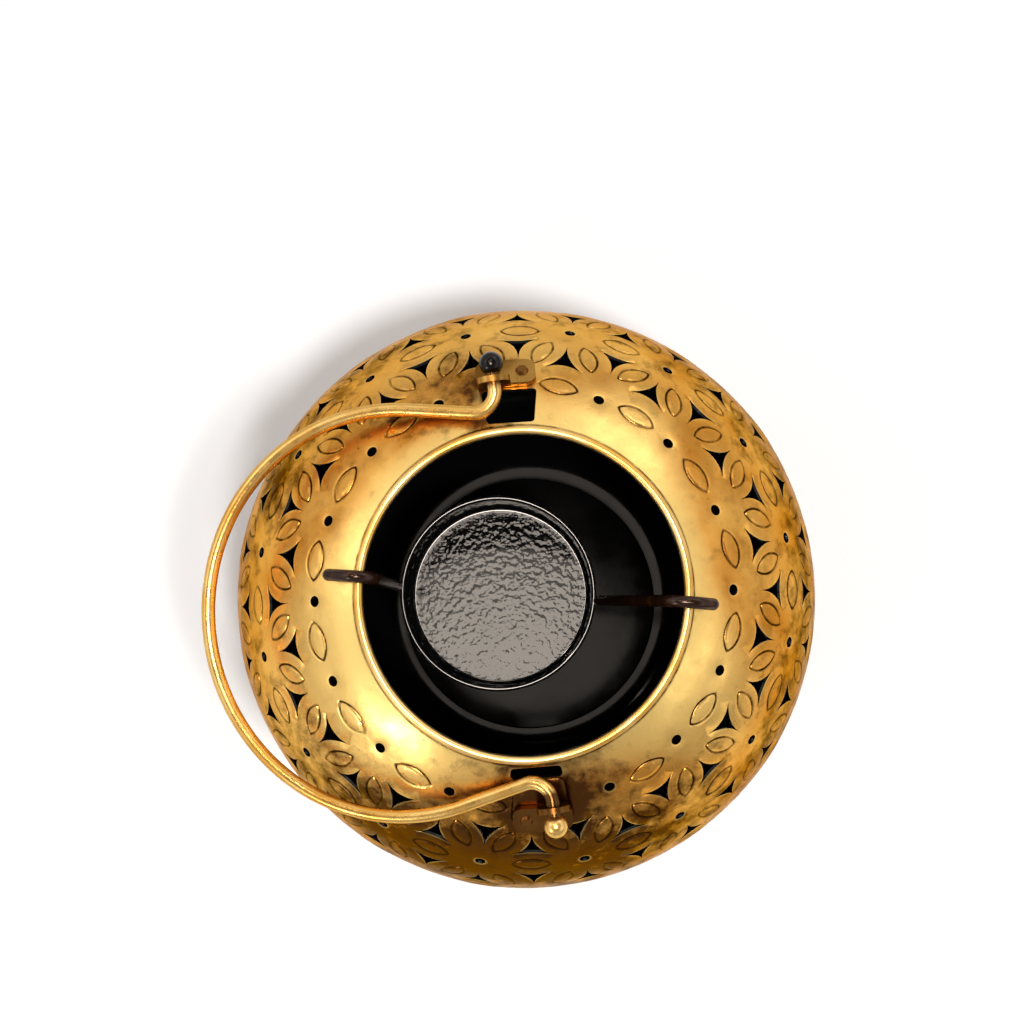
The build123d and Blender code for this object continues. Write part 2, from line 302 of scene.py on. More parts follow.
@dataclass(frozen=True)
class BlackEnamel:
    """Stoving enamel, poured black and glossy; it dries with an orange-peel skin.

    The eye sees black with sharp but wavy reflections, a little duller where dust lies.
    """

    name: str = "black_stoving_enamel"
    colour: str = "#070606"
    ior: float = 1.52
    roughness: float = 0.05
    dust_mm: float = 7.0
    dust_range: tuple[float, float] = (0.35, 0.7)
    dust_roughness: float = 0.06
    peel_mm: float = 2.2
    peel_depth_mm: float = 0.015
    peel_strength: float = 0.4
    peel_range: tuple[float, float] = (0.0, 1.0)
    specular: float = 0.5
    coat: float = 0.4
    coat_roughness: float = 0.03

    def material(self) -> bpy.types.Material:
        """Bend the gloss by the peel's noise and dull it by the dust's.

        Returns:
            The finish.
        """
        material, tree = new_material(self.name)
        place = add_node(tree, "TexCoord").outputs["Object"]
        peel, dust = (
            add_node(
                tree,
                "TexNoise",
                {"Vector": place, "Scale": 1 / (size * MM), "Detail": detail, "Roughness": fineness},
            ).outputs["Fac"]
            for size, detail, fineness in ((self.peel_mm, 1.5, 0.5), (self.dust_mm, 4.0, 0.6))
        )
        low, high = self.peel_range
        peel = add_node(
            tree, "MapRange", {"Value": peel, "From Min": low, "From Max": high}
        ).outputs["Result"]
        rough = add_node(
            tree,
            "MapRange",
            {
                "Value": dust,
                "From Min": self.dust_range[0],
                "From Max": self.dust_range[1],
                "To Min": self.roughness,
                "To Max": self.roughness + self.dust_roughness,
            },
        ).outputs["Result"]
        skin = add_node(
            tree,
            "Bump",
            {"Height": peel, "Strength": self.peel_strength, "Distance": self.peel_depth_mm * MM},
        ).outputs["Normal"]
        shader = add_node(
            tree,
            "BsdfPrincipled",
            {
                "Base Color": linear(self.colour),
                "Roughness": rough,
                "IOR": self.ior,
                "Specular IOR Level": self.specular,
                "Normal": skin,
                "Coat Weight": self.coat,
                "Coat Roughness": self.coat_roughness,
            },
        )
        add_node(tree, "OutputMaterial", {"Surface": shader.outputs["BSDF"]})
        return material


@dataclass(frozen=True)
class BrownWire:
    """Iron wire dipped in dark brown lacquer.

    The eye sees a nearly black satin with warm glints, and lighter brown where it is worn.
    """

    name: str = "brown_lacquer_on_wire"
    colour: str = "#2A150A"
    worn: str = "#6B3F1C"
    patch_mm: float = 3.0
    patch_depth_mm: float = 0.1
    patch_strength: float = 0.3
    wear_range: tuple[float, float] = (0.55, 0.75)
    wear_share: float = 0.6
    metallic: float = 0.5
    roughness: float = 0.2

    def material(self) -> bpy.types.Material:
        """Lay the worn brown over the dark one in patches.

        Returns:
            The finish.
        """
        material, tree = new_material(self.name)
        place = add_node(tree, "TexCoord").outputs["Object"]
        patch = add_node(
            tree,
            "TexNoise",
            {"Vector": place, "Scale": 1 / (self.patch_mm * MM), "Detail": 4.0, "Roughness": 0.6},
        ).outputs["Fac"]
        low, high = self.wear_range
        wear = add_node(
            tree,
            "MapRange",
            {"Value": patch, "From Min": low, "From Max": high, "To Max": self.wear_share},
        ).outputs["Result"]
        colour = add_node(
            tree, "Mix", {0: wear, 6: linear(self.colour), 7: linear(self.worn)}, data_type="RGBA"
        ).outputs[2]
        bump = add_node(
            tree,
            "Bump",
            {"Height": patch, "Strength": self.patch_strength, "Distance": self.patch_depth_mm * MM},
        ).outputs["Normal"]
        shader = add_node(
            tree,
            "BsdfPrincipled",
            {"Base Color": colour, "Metallic": self.metallic, "Roughness": self.roughness, "Normal": bump},
        )
        add_node(tree, "OutputMaterial", {"Surface": shader.outputs["BSDF"]})
        return material


# Meshes


def make_piece(
    name: str,
    points: np.ndarray,
    faces: list[np.ndarray],
    materials: list[bpy.types.Material],
    face_finish: np.ndarray | None = None,
    marks: dict[str, np.ndarray] | None = None,
) -> bpy.types.Object:
    """Put arrays into a mesh object at the origin.

    Args:
        name: The piece's name.
        points: Vertex places in millimetres, one row each.
        faces: Arrays of vertex numbers, triangles and quads apart.
        materials: The piece's finishes.
        face_finish: Number of the finish of each face, in the order of faces.
        marks: Attribute name to one value for each vertex.

    Returns:
        The new object, linked to the scene.
    """
    mesh = bpy.data.meshes.new(name)
    mesh.from_pydata((points * MM).tolist(), [], [face for block in faces for face in block.tolist()])
    for material in materials:
        mesh.materials.append(material)
    if face_finish is not None:
        mesh.polygons.foreach_set("material_index", face_finish.astype(np.int32))
    for mark, values in (marks or {}).items():
        layer = mesh.attributes.new(mark, "FLOAT", "POINT")
        layer.data.foreach_set("value", values.astype(np.float32))
    mesh.shade_smooth()
    mesh.set_sharp_from_angle(angle=SHARP_FROM)
    mesh.validate()
    piece = bpy.data.objects.new(name, mesh)
    bpy.context.scene.collection.objects.link(piece)
    return piece


def grid_quads(rows: int, columns: int, close_rows: bool) -> np.ndarray:
    """Number the quads of a grid of points stored row by row, where each row's end joins its start.

    Args:
        rows: Number of rows of points.
        columns: Number of points in a row.
        close_rows: Whether the last row joins the first.

    Returns:
        One row of four vertex numbers for each quad.
    """
    row = np.arange(rows if close_rows else rows - 1)[:, None]
    column = np.arange(columns)[None, :]
    next_row, next_column = (row + 1) % rows, (column + 1) % columns
    corners = (
        row * columns + column,
        row * columns + next_column,
        next_row * columns + next_column,
        next_row * columns + column,
    )
    return np.stack(corners, -1).reshape(-1, 4)


def spin(profile: np.ndarray, steps: int) -> tuple[np.ndarray, np.ndarray]:
    """Turn a closed profile about the lantern's axis.

    A point is the profile's radius times the cosine and the sine of the turn, at the profile's height.

    Args:
        profile: Rows of radius and height, anticlockwise with the radius to the right.
        steps: Number of stations round the axis.

    Returns:
        The points and the quads.
    """
    angle = np.linspace(0, TAU, steps, endpoint=False)[:, None]
    radius, height = profile[None, :, 0], profile[None, :, 1]
    points = np.stack([radius * np.cos(angle), radius * np.sin(angle), height + 0 * angle], -1)
    return points.reshape(-1, 3), grid_quads(steps, len(profile), True)[:, ::-1]


def ring_stack(
    centres: np.ndarray, sizes: np.ndarray, first: np.ndarray, second: np.ndarray, sides: int
) -> tuple[np.ndarray, list[np.ndarray]]:
    """Skin a stack of circles and close each end with a fan of triangles.

    A point of a circle is its centre plus its size times the cosine of the turn along the first direction
    and the sine along the second. The first, the second and the way along the stack are right-handed.

    Args:
        centres: Middle of each circle.
        sizes: Radius of each circle.
        first: Unit direction of the turn's start, one for all or one for each circle.
        second: Unit direction a quarter turn on, likewise.
        sides: Points round a circle.

    Returns:
        The points, then the quads and the triangles.
    """
    count = len(centres)
    first, second = np.broadcast_to(first, (count, 3)), np.broadcast_to(second, (count, 3))
    turn = np.linspace(0, TAU, sides, endpoint=False)[None, :, None]
    circle = first[:, None] * np.cos(turn) + second[:, None] * np.sin(turn)
    skin = (centres[:, None] + circle * sizes[:, None, None]).reshape(-1, 3)
    points = np.concatenate([skin, centres[:1], centres[-1:]])
    here = np.arange(sides)
    ahead = (here + 1) % sides
    end = (count - 1) * sides
    head = np.stack([np.full(sides, count * sides), ahead, here], -1)
    tail = np.stack([np.full(sides, count * sides + 1), end + here, end + ahead], -1)
    return points, [grid_quads(count, sides, False), np.concatenate([head, tail])]


def wire(
    path: np.ndarray, across: np.ndarray, radius: float, sides: int = 20
) -> tuple[np.ndarray, list[np.ndarray]]:
    """Carry a circle along a path that lies in one plane, with rounded ends.

    Each end adds circles on a quarter turn, where the size shrinks as the cosine while the middle moves on
    as the sine, so the ends are half balls.

    Args:
        path: Points of the centre line.
        across: Unit normal of the path's plane.
        radius: Radius of the wire.
        sides: Points round the section.

    Returns:
        The points, then the quads and the triangles.
    """
    tangent = np.gradient(path, axis=0)
    tangent /= np.linalg.norm(tangent, axis=1, keepdims=True)
    swell = np.radians([86.0, 68.0, 46.0, 23.0])[:, None]
    head = path[:1] - tangent[:1] * radius * np.sin(swell)
    tail = path[-1:] + tangent[-1:] * radius * np.sin(swell[::-1])
    line = np.concatenate([head, path, tail])
    caps = len(swell)
    way = np.concatenate([np.repeat(tangent[:1], caps, 0), tangent, np.repeat(tangent[-1:], caps, 0)])
    size = radius * np.concatenate([np.cos(swell[:, 0]), np.ones(len(path)), np.cos(swell[::-1, 0])])
    return ring_stack(line, size, np.cross(across, way), across, sides)


def bent_line(corners: np.ndarray, bend: float, spacing: float = 0.6) -> np.ndarray:
    """Follow straight runs with a round bend at each corner.

    A bend starts and ends at its radius times the tangent of half its turn from the corner, and between
    them its spokes are blended by the sines of what is left and what is done of the turn.

    Args:
        corners: Points in a plane.
        bend: Radius of the bends.
        spacing: Distance between points on the bends.

    Returns:
        Points along the line.
    """
    parts = [corners[:1]]
    for before, corner, after in zip(corners[:-2], corners[1:-1], corners[2:]):
        back = (before - corner) / np.linalg.norm(before - corner)
        ahead = (after - corner) / np.linalg.norm(after - corner)
        half = 0.5 * math.acos(float(np.clip(back @ ahead, -1, 1)))
        centre = corner + (back + ahead) / np.linalg.norm(back + ahead) * bend / math.sin(half)
        first = corner + back * bend / math.tan(half) - centre
        last = corner + ahead * bend / math.tan(half) - centre
        sweep = math.pi - 2 * half
        share = np.linspace(0, 1, max(4, int(sweep * bend / spacing)))[:, None]
        arc = first * np.sin((1 - share) * sweep) + last * np.sin(share * sweep)
        parts.append(centre + arc / math.sin(sweep))
    parts.append(corners[-1:])
    return np.concatenate(parts)


@dataclass(frozen=True)
class GlobeWall:
    """Outer profile of the globe: a side arc at the equator that runs into a domed shoulder.

    The lugs stand on it at a length from the equator.
    """

    globe_radius: float = 62.5
    side_arc_radius: float = 47.0
    shoulder_drop: float = 20.0
    base_opening_radius: float = 32.5
    base_sheet: float = 0.9
    lug_place: float = 47.4

    @property
    def side_centre(self) -> float:
        """Radius of the side arc's centre."""
        return self.globe_radius - self.side_arc_radius

    @property
    def shoulder_radius(self) -> float:
        """Radius of the domed shoulder, which touches the side arc."""
        return self.side_arc_radius + math.hypot(self.side_centre, self.shoulder_drop)

    @property
    def junction_tilt(self) -> float:
        """Tilt of the normal where the arcs meet."""
        return math.atan2(self.shoulder_drop, self.side_centre)

    @property
    def equator_height(self) -> float:
        """Height of the widest place above the base's underside."""
        depth = math.sqrt(self.shoulder_radius**2 - self.base_opening_radius**2)
        return self.base_sheet + depth - self.shoulder_drop

    @property
    def shoulder_centre_height(self) -> float:
        """Height of the centre of the upper half's shoulder, which is on the axis."""
        return self.equator_height - self.shoulder_drop

    def length_at(self, radius: float) -> float:
        """Length along the wall from the equator to a radius on the shoulder."""
        past_junction = math.acos(radius / self.shoulder_radius) - self.junction_tilt
        return self.side_arc_radius * self.junction_tilt + self.shoulder_radius * past_junction

    def section(self, length: np.ndarray) -> tuple[np.ndarray, np.ndarray, np.ndarray]:
        """Radius, height above the equator and tilt of the normal at lengths along the wall.

        Args:
            length: Lengths from the equator.

        Returns:
            Three arrays of the same shape.
        """
        junction = self.side_arc_radius * self.junction_tilt
        on_side = length < junction
        tilt = np.where(
            on_side,
            length / self.side_arc_radius,
            self.junction_tilt + (length - junction) / self.shoulder_radius,
        )
        radius = np.where(
            on_side,
            self.side_centre + self.side_arc_radius * np.cos(tilt),
            self.shoulder_radius * np.cos(tilt),
        )
        height = np.where(
            on_side,
            self.side_arc_radius * np.sin(tilt),
            self.shoulder_radius * np.sin(tilt) - self.shoulder_drop,
        )
        return radius, height, tilt

    def place(self, turn: np.ndarray, length: np.ndarray, lift: np.ndarray, half: Half) -> np.ndarray:
        """Points on the wall, moved out along its normal.

        Args:
            turn: Angles round the axis in radians.
            length: Lengths along the wall from the equator.
            lift: Distances out of the outer face.
            half: Which half of the globe.

        Returns:
            One row for each point.
        """
        radius, height, tilt = self.section(length)
        out = radius + lift * np.cos(tilt)
        up = self.equator_height + half.value * (height + lift * np.sin(tilt))
        return np.stack([out * np.cos(turn), out * np.sin(turn), up], -1)


def star_outline(width: float, length: float, hollow: float, apex: int, per_side: int = 8) -> np.ndarray:
    """Three-pointed star with hollow sides: each side is its chord pulled in by a parabola.

    Args:
        width: Width of the base.
        length: Height from the base to the apex.
        hollow: Depth of each side's hollow.
        apex: 1 with the apex up the wall, -1 down.
        per_side: Points on a side.

    Returns:
        Closed outline, anticlockwise, from the apex.
    """
    tips = np.array([[0, length * 2 / 3], [-width / 2, -length / 3], [width / 2, -length / 3]])
    share = np.linspace(0, 1, per_side, endpoint=False)[None, :, None]
    start, end = tips[:, None], np.roll(tips, -1, axis=0)[:, None]
    middle = (start + end) / 2
    inward = -middle / np.linalg.norm(middle, axis=-1, keepdims=True)
    sides = start * (1 - share) + end * share + inward * hollow * 4 * share * (1 - share)
    outline = sides.reshape(-1, 2)
    return outline if apex > 0 else np.roll(outline[::-1], 1, axis=0) * np.array([1, -1])


def round_outline(diameter: float, count: int = 16) -> np.ndarray:
    """Circle that starts up the wall."""
    angle = np.linspace(0, TAU, count, endpoint=False) + TAU / 4
    return diameter / 2 * np.stack([np.cos(angle), np.sin(angle)], -1)


def almond_outline(length: float, width: float, per_side: int = 12) -> np.ndarray:
    """Eye shape: the half width falls from the middle to the tips as (1 - x^2)^0.75.

    Args:
        length: Length from tip to tip.
        width: Width in the middle.
        per_side: Points on a side.

    Returns:
        Closed outline, anticlockwise.
    """
    along = np.cos(np.linspace(0, math.pi, per_side, endpoint=False))
    across = (1 - along**2) ** 0.75
    upper = np.stack([along * length / 2, across * width / 2], -1)
    return np.concatenate([upper, -upper])


def box_outline(width: float, length: float, corner: float, per_corner: int = 5) -> np.ndarray:
    """Rectangle with a quarter circle at each corner.

    Args:
        width: Size round the wall.
        length: Size along the wall.
        corner: Radius of the corners.
        per_corner: Points on a corner.

    Returns:
        Closed outline, anticlockwise.
    """
    angle = np.linspace(0, TAU / 4, per_corner)[None, :] + np.arange(4)[:, None] * TAU / 4
    signs = np.array([[1, 1], [-1, 1], [-1, -1], [1, -1]])[:, None]
    centres = signs * (np.array([width, length]) / 2 - corner)
    return (centres + corner * np.stack([np.cos(angle), np.sin(angle)], -1)).reshape(-1, 2)


def ramp(value: np.ndarray, start: np.ndarray | float, end: np.ndarray | float) -> np.ndarray:
    """Straight rise from 0 at the start to 1 at the end, level outside them."""
    return np.clip((value - start) / (end - start), 0, 1)


class SheetDrawing:
    """Flat drawing of a sheet: loops, holes and points, each with its lift and its marks.

    The drawing's x is the angle round the axis times a fixed radius, its y the length along the wall.
    """

    def __init__(self) -> None:
        """Start an empty drawing."""
        self.points: list[np.ndarray] = []
        self.values: list[np.ndarray] = []
        self.edges: list[np.ndarray] = []
        self.holes: list[list[int]] = []
        self.count = 0

    def add(
        self, points: np.ndarray, lift: float = 0.0, line: float = 0.0, edge: float = 0.0
    ) -> np.ndarray:
        """Add points.

        Args:
            points: Drawing points, in an array of any shape.
            lift: Their distance out of the wall.
            line: Their share of the chased line's brown.
            edge: Their share of the painted highlight on a cut edge.

        Returns:
            The points' numbers, in the shape of the array less its last axis.
        """
        flat = points.reshape(-1, 2)
        numbers = np.arange(len(flat)) + self.count
        self.points.append(flat)
        self.values.append(np.tile([lift, line, edge], (len(flat), 1)))
        self.count += len(flat)
        return numbers.reshape(points.shape[:-1])

    def run(self, points: np.ndarray, line: float = 0.0) -> None:
        """Add an open line of points, as edges that the faces keep to."""
        numbers = self.add(points, line=line)
        self.edges.append(np.stack([numbers[:-1], numbers[1:]], -1))

    def loops(
        self, points: np.ndarray, lift: float = 0.0, line: float = 0.0, edge: float = 0.0
    ) -> np.ndarray:
        """Add closed loops, as edges that the faces keep to.

        Args:
            points: Drawing points, one loop in each row of the array.
            lift: Their distance out of the wall.
            line: Their share of the chased line's brown.
            edge: Their share of the painted highlight on a cut edge.

        Returns:
            The points' numbers, one loop in each row.
        """
        numbers = self.add(points, lift, line, edge)
        self.edges.append(np.stack([numbers, np.roll(numbers, -1, axis=-1)], -1).reshape(-1, 2))
        return numbers

    def pierce(self, points: np.ndarray, lift: float = 0.0) -> None:
        """Add loops that are cut out of the sheet; their points carry the painted highlight of a cut edge.
        """
        self.holes.extend(self.loops(points, lift, edge=1.0).tolist())

    def faces(self) -> tuple[np.ndarray, np.ndarray, np.ndarray]:
        """Divide the sheet into triangles that keep to every edge.

        Returns:
            The points, the triangles left between the holes, and each point's lift, line and edge values.
        """
        points = [Vector(point) for point in np.concatenate(self.points).tolist()]
        values = np.concatenate(self.values)
        edges = np.concatenate(self.edges).tolist()
        found, _, faces, point_sources, _, face_sources = delaunay_2d_cdt(
            points, edges, self.holes, 0, SAME_PLACE / 10
        )
        flat = np.array([tuple(point) for point in found])
        origin = np.array([source[0] if source else -1 for source in point_sources])
        kept = np.array([face for face, source in zip(faces, face_sources) if not source])
        return flat, kept, np.where(origin[:, None] >= 0, values[origin], 0.0)


@dataclass(frozen=True)
class SidePatch:
    """Patch on one side of the globe, which fades as exp(-(a / spread)^2) with the angle a from its middle.

    The middle is in degrees, the spread in radians.
    """

    middle: float
    spread: float
    amount: float = 1.0

    def at(self, turn: np.ndarray) -> np.ndarray:
        """Amount at angles of -pi to pi; a middle past 180 degrees takes them as 0 to a full turn."""
        turn = turn % TAU if self.middle > 180 else turn
        return self.amount * np.exp(-(((turn - math.radians(self.middle)) / self.spread) ** 2))


@dataclass(frozen=True)
class PaintedShadeAndHighlight:
    """Painted shade and painted highlight on the globe, laid into the gold's colour as attributes.

    A pair of radii is where a mark starts and where it is full. The back is towards +Y and the left
    towards -X. A lug's painted shade has its angle in degrees, its reach and its share.
    """

    equator_height: float
    # Painted shade towards the equator, thinner at the back and on the left.
    girdle_share: float = 0.8
    girdle_radii: tuple[float, float] = (49.0, 62.0)
    girdle_thin_back: SidePatch = SidePatch(77.0, 0.5, 0.55)
    girdle_thin_left: SidePatch = SidePatch(187.0, 0.4, 0.25)
    # Painted shade round the lugs.
    lug_radius: float = 41.0
    lug_shades: tuple[tuple[float, float, float], ...] = ((96.0, 10.0, 0.75), (-91.0, 15.0, 1.0))
    # Painted shadow of the bail on the shell.
    bail_shadow_middle: tuple[float, float] = (-18.0, 38.0)
    bail_shadow_size: tuple[float, float] = (14.0, 3.5)
    bail_shadow_share: float = 0.66
    # Painted shade behind on the left and low on the front.
    behind: SidePatch = SidePatch(145.0, 0.28, 0.75)
    behind_radii: tuple[float, float] = (46.0, 55.0)
    front: SidePatch = SidePatch(-104.0, 0.92, 1.1)
    front_radii: tuple[float, float] = (40.0, 50.0)
    thin_edge_radii: tuple[float, float] = (62.0, 58.0)
    thin_edge_share: float = 0.6
    below_depth: float = 20.0
    below_share: float = 0.35
    # Painted highlight round the mouth, reaching further at the back, left and front right, with a gap in
    # front.
    highlight_full: float = 32.0
    highlight_end: float = 37.2
    highlight_further: tuple[SidePatch, ...] = (
        SidePatch(52.0, 0.35, 12.0),
        SidePatch(205.0, 0.6, 28.0),
        SidePatch(-38.0, 0.35, 17.0),
    )
    highlight_power: float = 0.8
    highlight_gap: SidePatch = SidePatch(-95.0, 0.36)
    highlight_gap_radii: tuple[float, float] = (30.0, 36.0)
    highlight_gap_shares: tuple[float, float] = (0.6, 0.95)
    # Painted highlight low at the back.
    back_highlight: SidePatch = SidePatch(88.0, 0.5, 0.42)
    back_highlight_radii: tuple[float, float] = (42.0, 50.0)
    back_highlight_end_radii: tuple[float, float] = (62.4, 57.4)

    def painted_shade(self, points: np.ndarray, half: Half) -> np.ndarray:
        """Share of painted shade in wax brown: lugs, the bail's painted shadow, front, back left and thinly
        round the equator.

        A place takes the largest of its shades, and all fade at the outermost edge and below the equator.

        Args:
            points: Places on the globe.
            half: The half they are on.

        Returns:
            One share for each place.
        """
        across, deep = points[:, 0], np.abs(points[:, 1])
        turn, out = np.arctan2(points[:, 1], points[:, 0]), np.hypot(points[:, 0], points[:, 1])
        thin = (1 - self.girdle_thin_back.at(turn)) * (1 - self.girdle_thin_left.at(turn))
        bail = ((across - self.bail_shadow_middle[0]) / self.bail_shadow_size[0]) ** 2
        bail = bail + ((deep - self.bail_shadow_middle[1]) / self.bail_shadow_size[1]) ** 2
        shades = [
            self.girdle_share * ramp(out, *self.girdle_radii) * thin,
            self.bail_shadow_share * np.exp(-bail),
            self.behind.at(turn) * ramp(out, *self.behind_radii),
            self.front.at(turn) * ramp(out, *self.front_radii),
        ]
        if half is Half.UPPER:
            for lug, reach, share in self.lug_shades:
                way = np.array([math.cos(math.radians(lug)), math.sin(math.radians(lug))])
                apart = np.linalg.norm(points[:, :2] - self.lug_radius * way, axis=1)
                shades.append(share * np.exp(-((apart / reach) ** 2)))
        below = np.maximum(self.equator_height - points[:, 2], 0)
        thin = np.maximum(ramp(out, *self.thin_edge_radii), self.thin_edge_share)
        thin *= np.maximum(ramp(below, self.below_depth, 0), self.below_share)
        return np.max(shades, axis=0) * thin

    def painted_highlight(self, points: np.ndarray, half: Half) -> np.ndarray:
        """Share of painted highlight in pale gold: full at the mouth, gone further out at the back, left
        and right.

        It falls as a power of the way left to where it ends. The front keeps a gap, and the back keeps
        some painted highlight low down. The lower half has none.

        Args:
            points: Places on the globe.
            half: The half they are on.

        Returns:
            One share for each place.
        """
        turn, out = np.arctan2(points[:, 1], points[:, 0]), np.hypot(points[:, 0], points[:, 1])
        end = self.highlight_end + sum(patch.at(turn) for patch in self.highlight_further)
        gap = self.highlight_gap.at(turn) * np.clip(ramp(out, *self.highlight_gap_radii), *self.highlight_gap_shares)
        share = ramp(out, end, self.highlight_full) ** self.highlight_power * (1 - gap)
        back_highlight = self.back_highlight.at(turn) * ramp(out, *self.back_highlight_radii) * ramp(out, *self.back_highlight_end_radii)
        return np.maximum(share, back_highlight) if half is Half.UPPER else 0 * share


@dataclass
class GlobeShell:
    """One half of the globe: spun sheet iron, pierced with stars and dots and chased with almonds.

    Rows and ends are lengths along the wall from the equator. What is named clear keeps the filling points
    of the mesh away from the pattern.
    """

    half: Half
    wall: GlobeWall
    top_length: float
    sheet: float = 0.8
    drawing_radius: float = 50.0
    repeats: int = 16
    pattern_turn: float = 16.1
    dot_rows: tuple[float, float, float] = (9.2, 28.2, 47.2)
    pierced_dot_rows: int = 3
    pierced_star_rows: int = 4
    dot_diameter: float = 2.2
    dot_clear: float = 0.6
    star_near_dots: float = 6.5
    star_far_from_dots: float = 8.0
    star_width: float = 7.7
    star_length: float = 7.0
    star_hollow: float = 1.0
    star_error: float = 0.12
    star_clear: float = 3.4
    tip_clear: float = 1.7
    tip_clear_share: float = 0.8
    almond_length: float = 7.7
    almond_width: float = 3.9
    plump_almond_width: float = 4.212
    slim_almond_width: float = 3.51
    almond_lean: float = 29.0
    almond_band: float = 8.6
    top_almonds_below_dots: float = 0.5
    middle_almonds_above_dots: float = 0.2
    almond_error_along: float = 0.22
    almond_error_around: float = 0.25
    almond_error_lean: float = 3.5
    almond_clear: float = 1.2
    line_width: float = 0.76
    line_margin: float = 0.3
    line_depth: float = 0.16
    line_floor_share: float = 0.4
    almond_edge: float = 0.03
    almond_crown: float = 0.05
    crown_shares: tuple[float, float] = (0.55, 0.45)
    rim_width: float = 0.55
    rim_drop: float = 0.1
    mesh_spacing: float = 2.3
    lip_line_from: float = 1.85
    lip_line_end: float = 2.2
    collar_start: float = 47.0
    collar_top: float = 51.5
    collar_rise: float = 0.1
    collar_fall: float = 0.5
    collar_power: float = 1.3
    beaten_depth: float = 0.07
    outside_inset: float = 0.1
    lug_turns: tuple[float, ...] = ()
    lug_margin: float = 9.0
    lug_rows_from: float = 40.0
    lug_offset: float = 2.4
    lug_foot_length: float = 6.4
    window_width: float = 10.0
    window_lengths: tuple[float, ...] = (8.0, 2.4)
    window_end: float = 55.8
    window_corner: float = 0.8
    window_clear: float = 2.4
    tab_width: float = 10.8
    tab_ends: tuple[float, float] = (42.7, 53.0)
    tab_corner: float = 1.4
    tab_half_line: float = 0.3
    tab_line_depth: float = 0.18
    rivet_offset: float = 5.6
    rivet_hole: float = 1.7
    rivet_clear: float = 1.5
    seed: int = 11

    def __post_init__(self) -> None:
        """Start the hand's small errors, the painted light and the drawing."""
        self.hand = np.random.default_rng(self.seed + self.half.value)
        self.painted_light = PaintedShadeAndHighlight(self.wall.equator_height)
        self.drawing = SheetDrawing()
        self.blocked: list[tuple[np.ndarray, np.ndarray, float]] = []
        self.start = math.radians(self.pattern_turn)

    @property
    def seam(self) -> tuple[float, float]:
        """The two ends of the drawing, which meet at the seam."""
        return self.start * self.drawing_radius, (self.start + TAU) * self.drawing_radius

    def row(self, half_steps: int) -> np.ndarray:
        """Angles of one row of the pattern; a row on the seam has its first one again at the end."""
        copies = np.arange(self.repeats + 1 - half_steps)
        return self.start + (copies + half_steps / 2) * TAU / self.repeats

    def errors(self, turns: np.ndarray, half_steps: int, size: float) -> np.ndarray:
        """Random errors of the hand for a row, none for those on the seam.

        Args:
            turns: The row's angles.
            half_steps: 0 for a row on the seam.
            size: Spread of the errors.

        Returns:
            One error for each angle.
        """
        found = self.hand.normal(0, size, len(turns))
        if half_steps == 0:
            found[[0, -1]] = 0
        return found

    def near_lugs(self, turns: np.ndarray) -> np.ndarray:
        """Find what is in the way of a lug.

        Args:
            turns: Angles of a row.

        Returns:
            Whether each angle is close to a lug.
        """
        lugs = np.radians(np.array(self.lug_turns))
        apart = np.abs((turns[:, None] - lugs[None, :] + math.pi) % TAU - math.pi)
        return (apart < math.radians(self.lug_margin)).any(axis=1)

    def spread(
        self, outline: np.ndarray, turns: np.ndarray, lengths: np.ndarray, leans: np.ndarray
    ) -> np.ndarray:
        """Lay an outline down at several places of the wall.

        The outline is turned by its lean, then x becomes an angle by the wall's radius there.

        Args:
            outline: Points round a middle, in millimetres.
            turns: Angles of the places.
            lengths: Lengths of the places along the wall.
            leans: Turns of the outline on the wall, in radians.

        Returns:
            Drawing points, one row of them for each place.
        """
        cosine, sine = np.cos(leans)[:, None], np.sin(leans)[:, None]
        around = outline[None, :, 0] * cosine - outline[None, :, 1] * sine
        along = outline[None, :, 0] * sine + outline[None, :, 1] * cosine
        radius = self.wall.section(lengths)[0][:, None]
        angles = turns[:, None] + around / radius
        return np.stack([angles * self.drawing_radius, lengths[:, None] + along], -1)

    def block(self, turns: np.ndarray, lengths: np.ndarray, clear: float) -> None:
        """Keep the filling points out of circles round the places."""
        self.blocked.append((turns, lengths, clear))

    def add_stars(self, length: float, half_steps: int, apex: int) -> None:
        """Pierce one row of stars, each in a narrow rolled rim.

        Args:
            length: Length of the row along the wall.
            half_steps: 0 for a row on the seam, 1 for one half a repeat from it.
            apex: 1 with the apex up the wall, -1 down.
        """
        turns = self.row(half_steps)
        lengths = length + self.errors(turns, half_steps, self.star_error)
        turns = turns + self.errors(turns, half_steps, self.star_error) / self.drawing_radius
        level = np.zeros(len(turns))
        outline = star_outline(self.star_width, self.star_length, self.star_hollow, apex)
        rim = outline + outline / np.linalg.norm(outline, axis=1, keepdims=True) * self.rim_width
        self.drawing.pierce(self.spread(outline, turns, lengths, level), -self.rim_drop)
        self.drawing.loops(self.spread(rim, turns, lengths, level))
        self.block(turns, lengths, self.star_clear)
        tips = outline[:: len(outline) // 3]
        for around, along in self.tip_clear_share * tips:
            self.block(turns + around / self.wall.section(lengths)[0], lengths + along, self.tip_clear)

    def add_dots(self, length: float, half_steps: int) -> None:
        """Pierce one row of dots, leaving out those close to the lugs.

        Args:
            length: Length of the row along the wall.
            half_steps: 0 for a row on the seam, 1 for one half a repeat from it.
        """
        turns = self.row(half_steps)
        if length > self.lug_rows_from:
            turns = turns[~self.near_lugs(turns)]
        lengths, level = np.full(len(turns), length), np.zeros(len(turns))
        rim_diameter = self.dot_diameter + 2 * self.rim_width
        self.drawing.pierce(
            self.spread(round_outline(self.dot_diameter), turns, lengths, level), -self.rim_drop
        )
        self.drawing.loops(self.spread(round_outline(rim_diameter), turns, lengths, level))
        self.block(turns, lengths, rim_diameter / 2 + self.dot_clear)

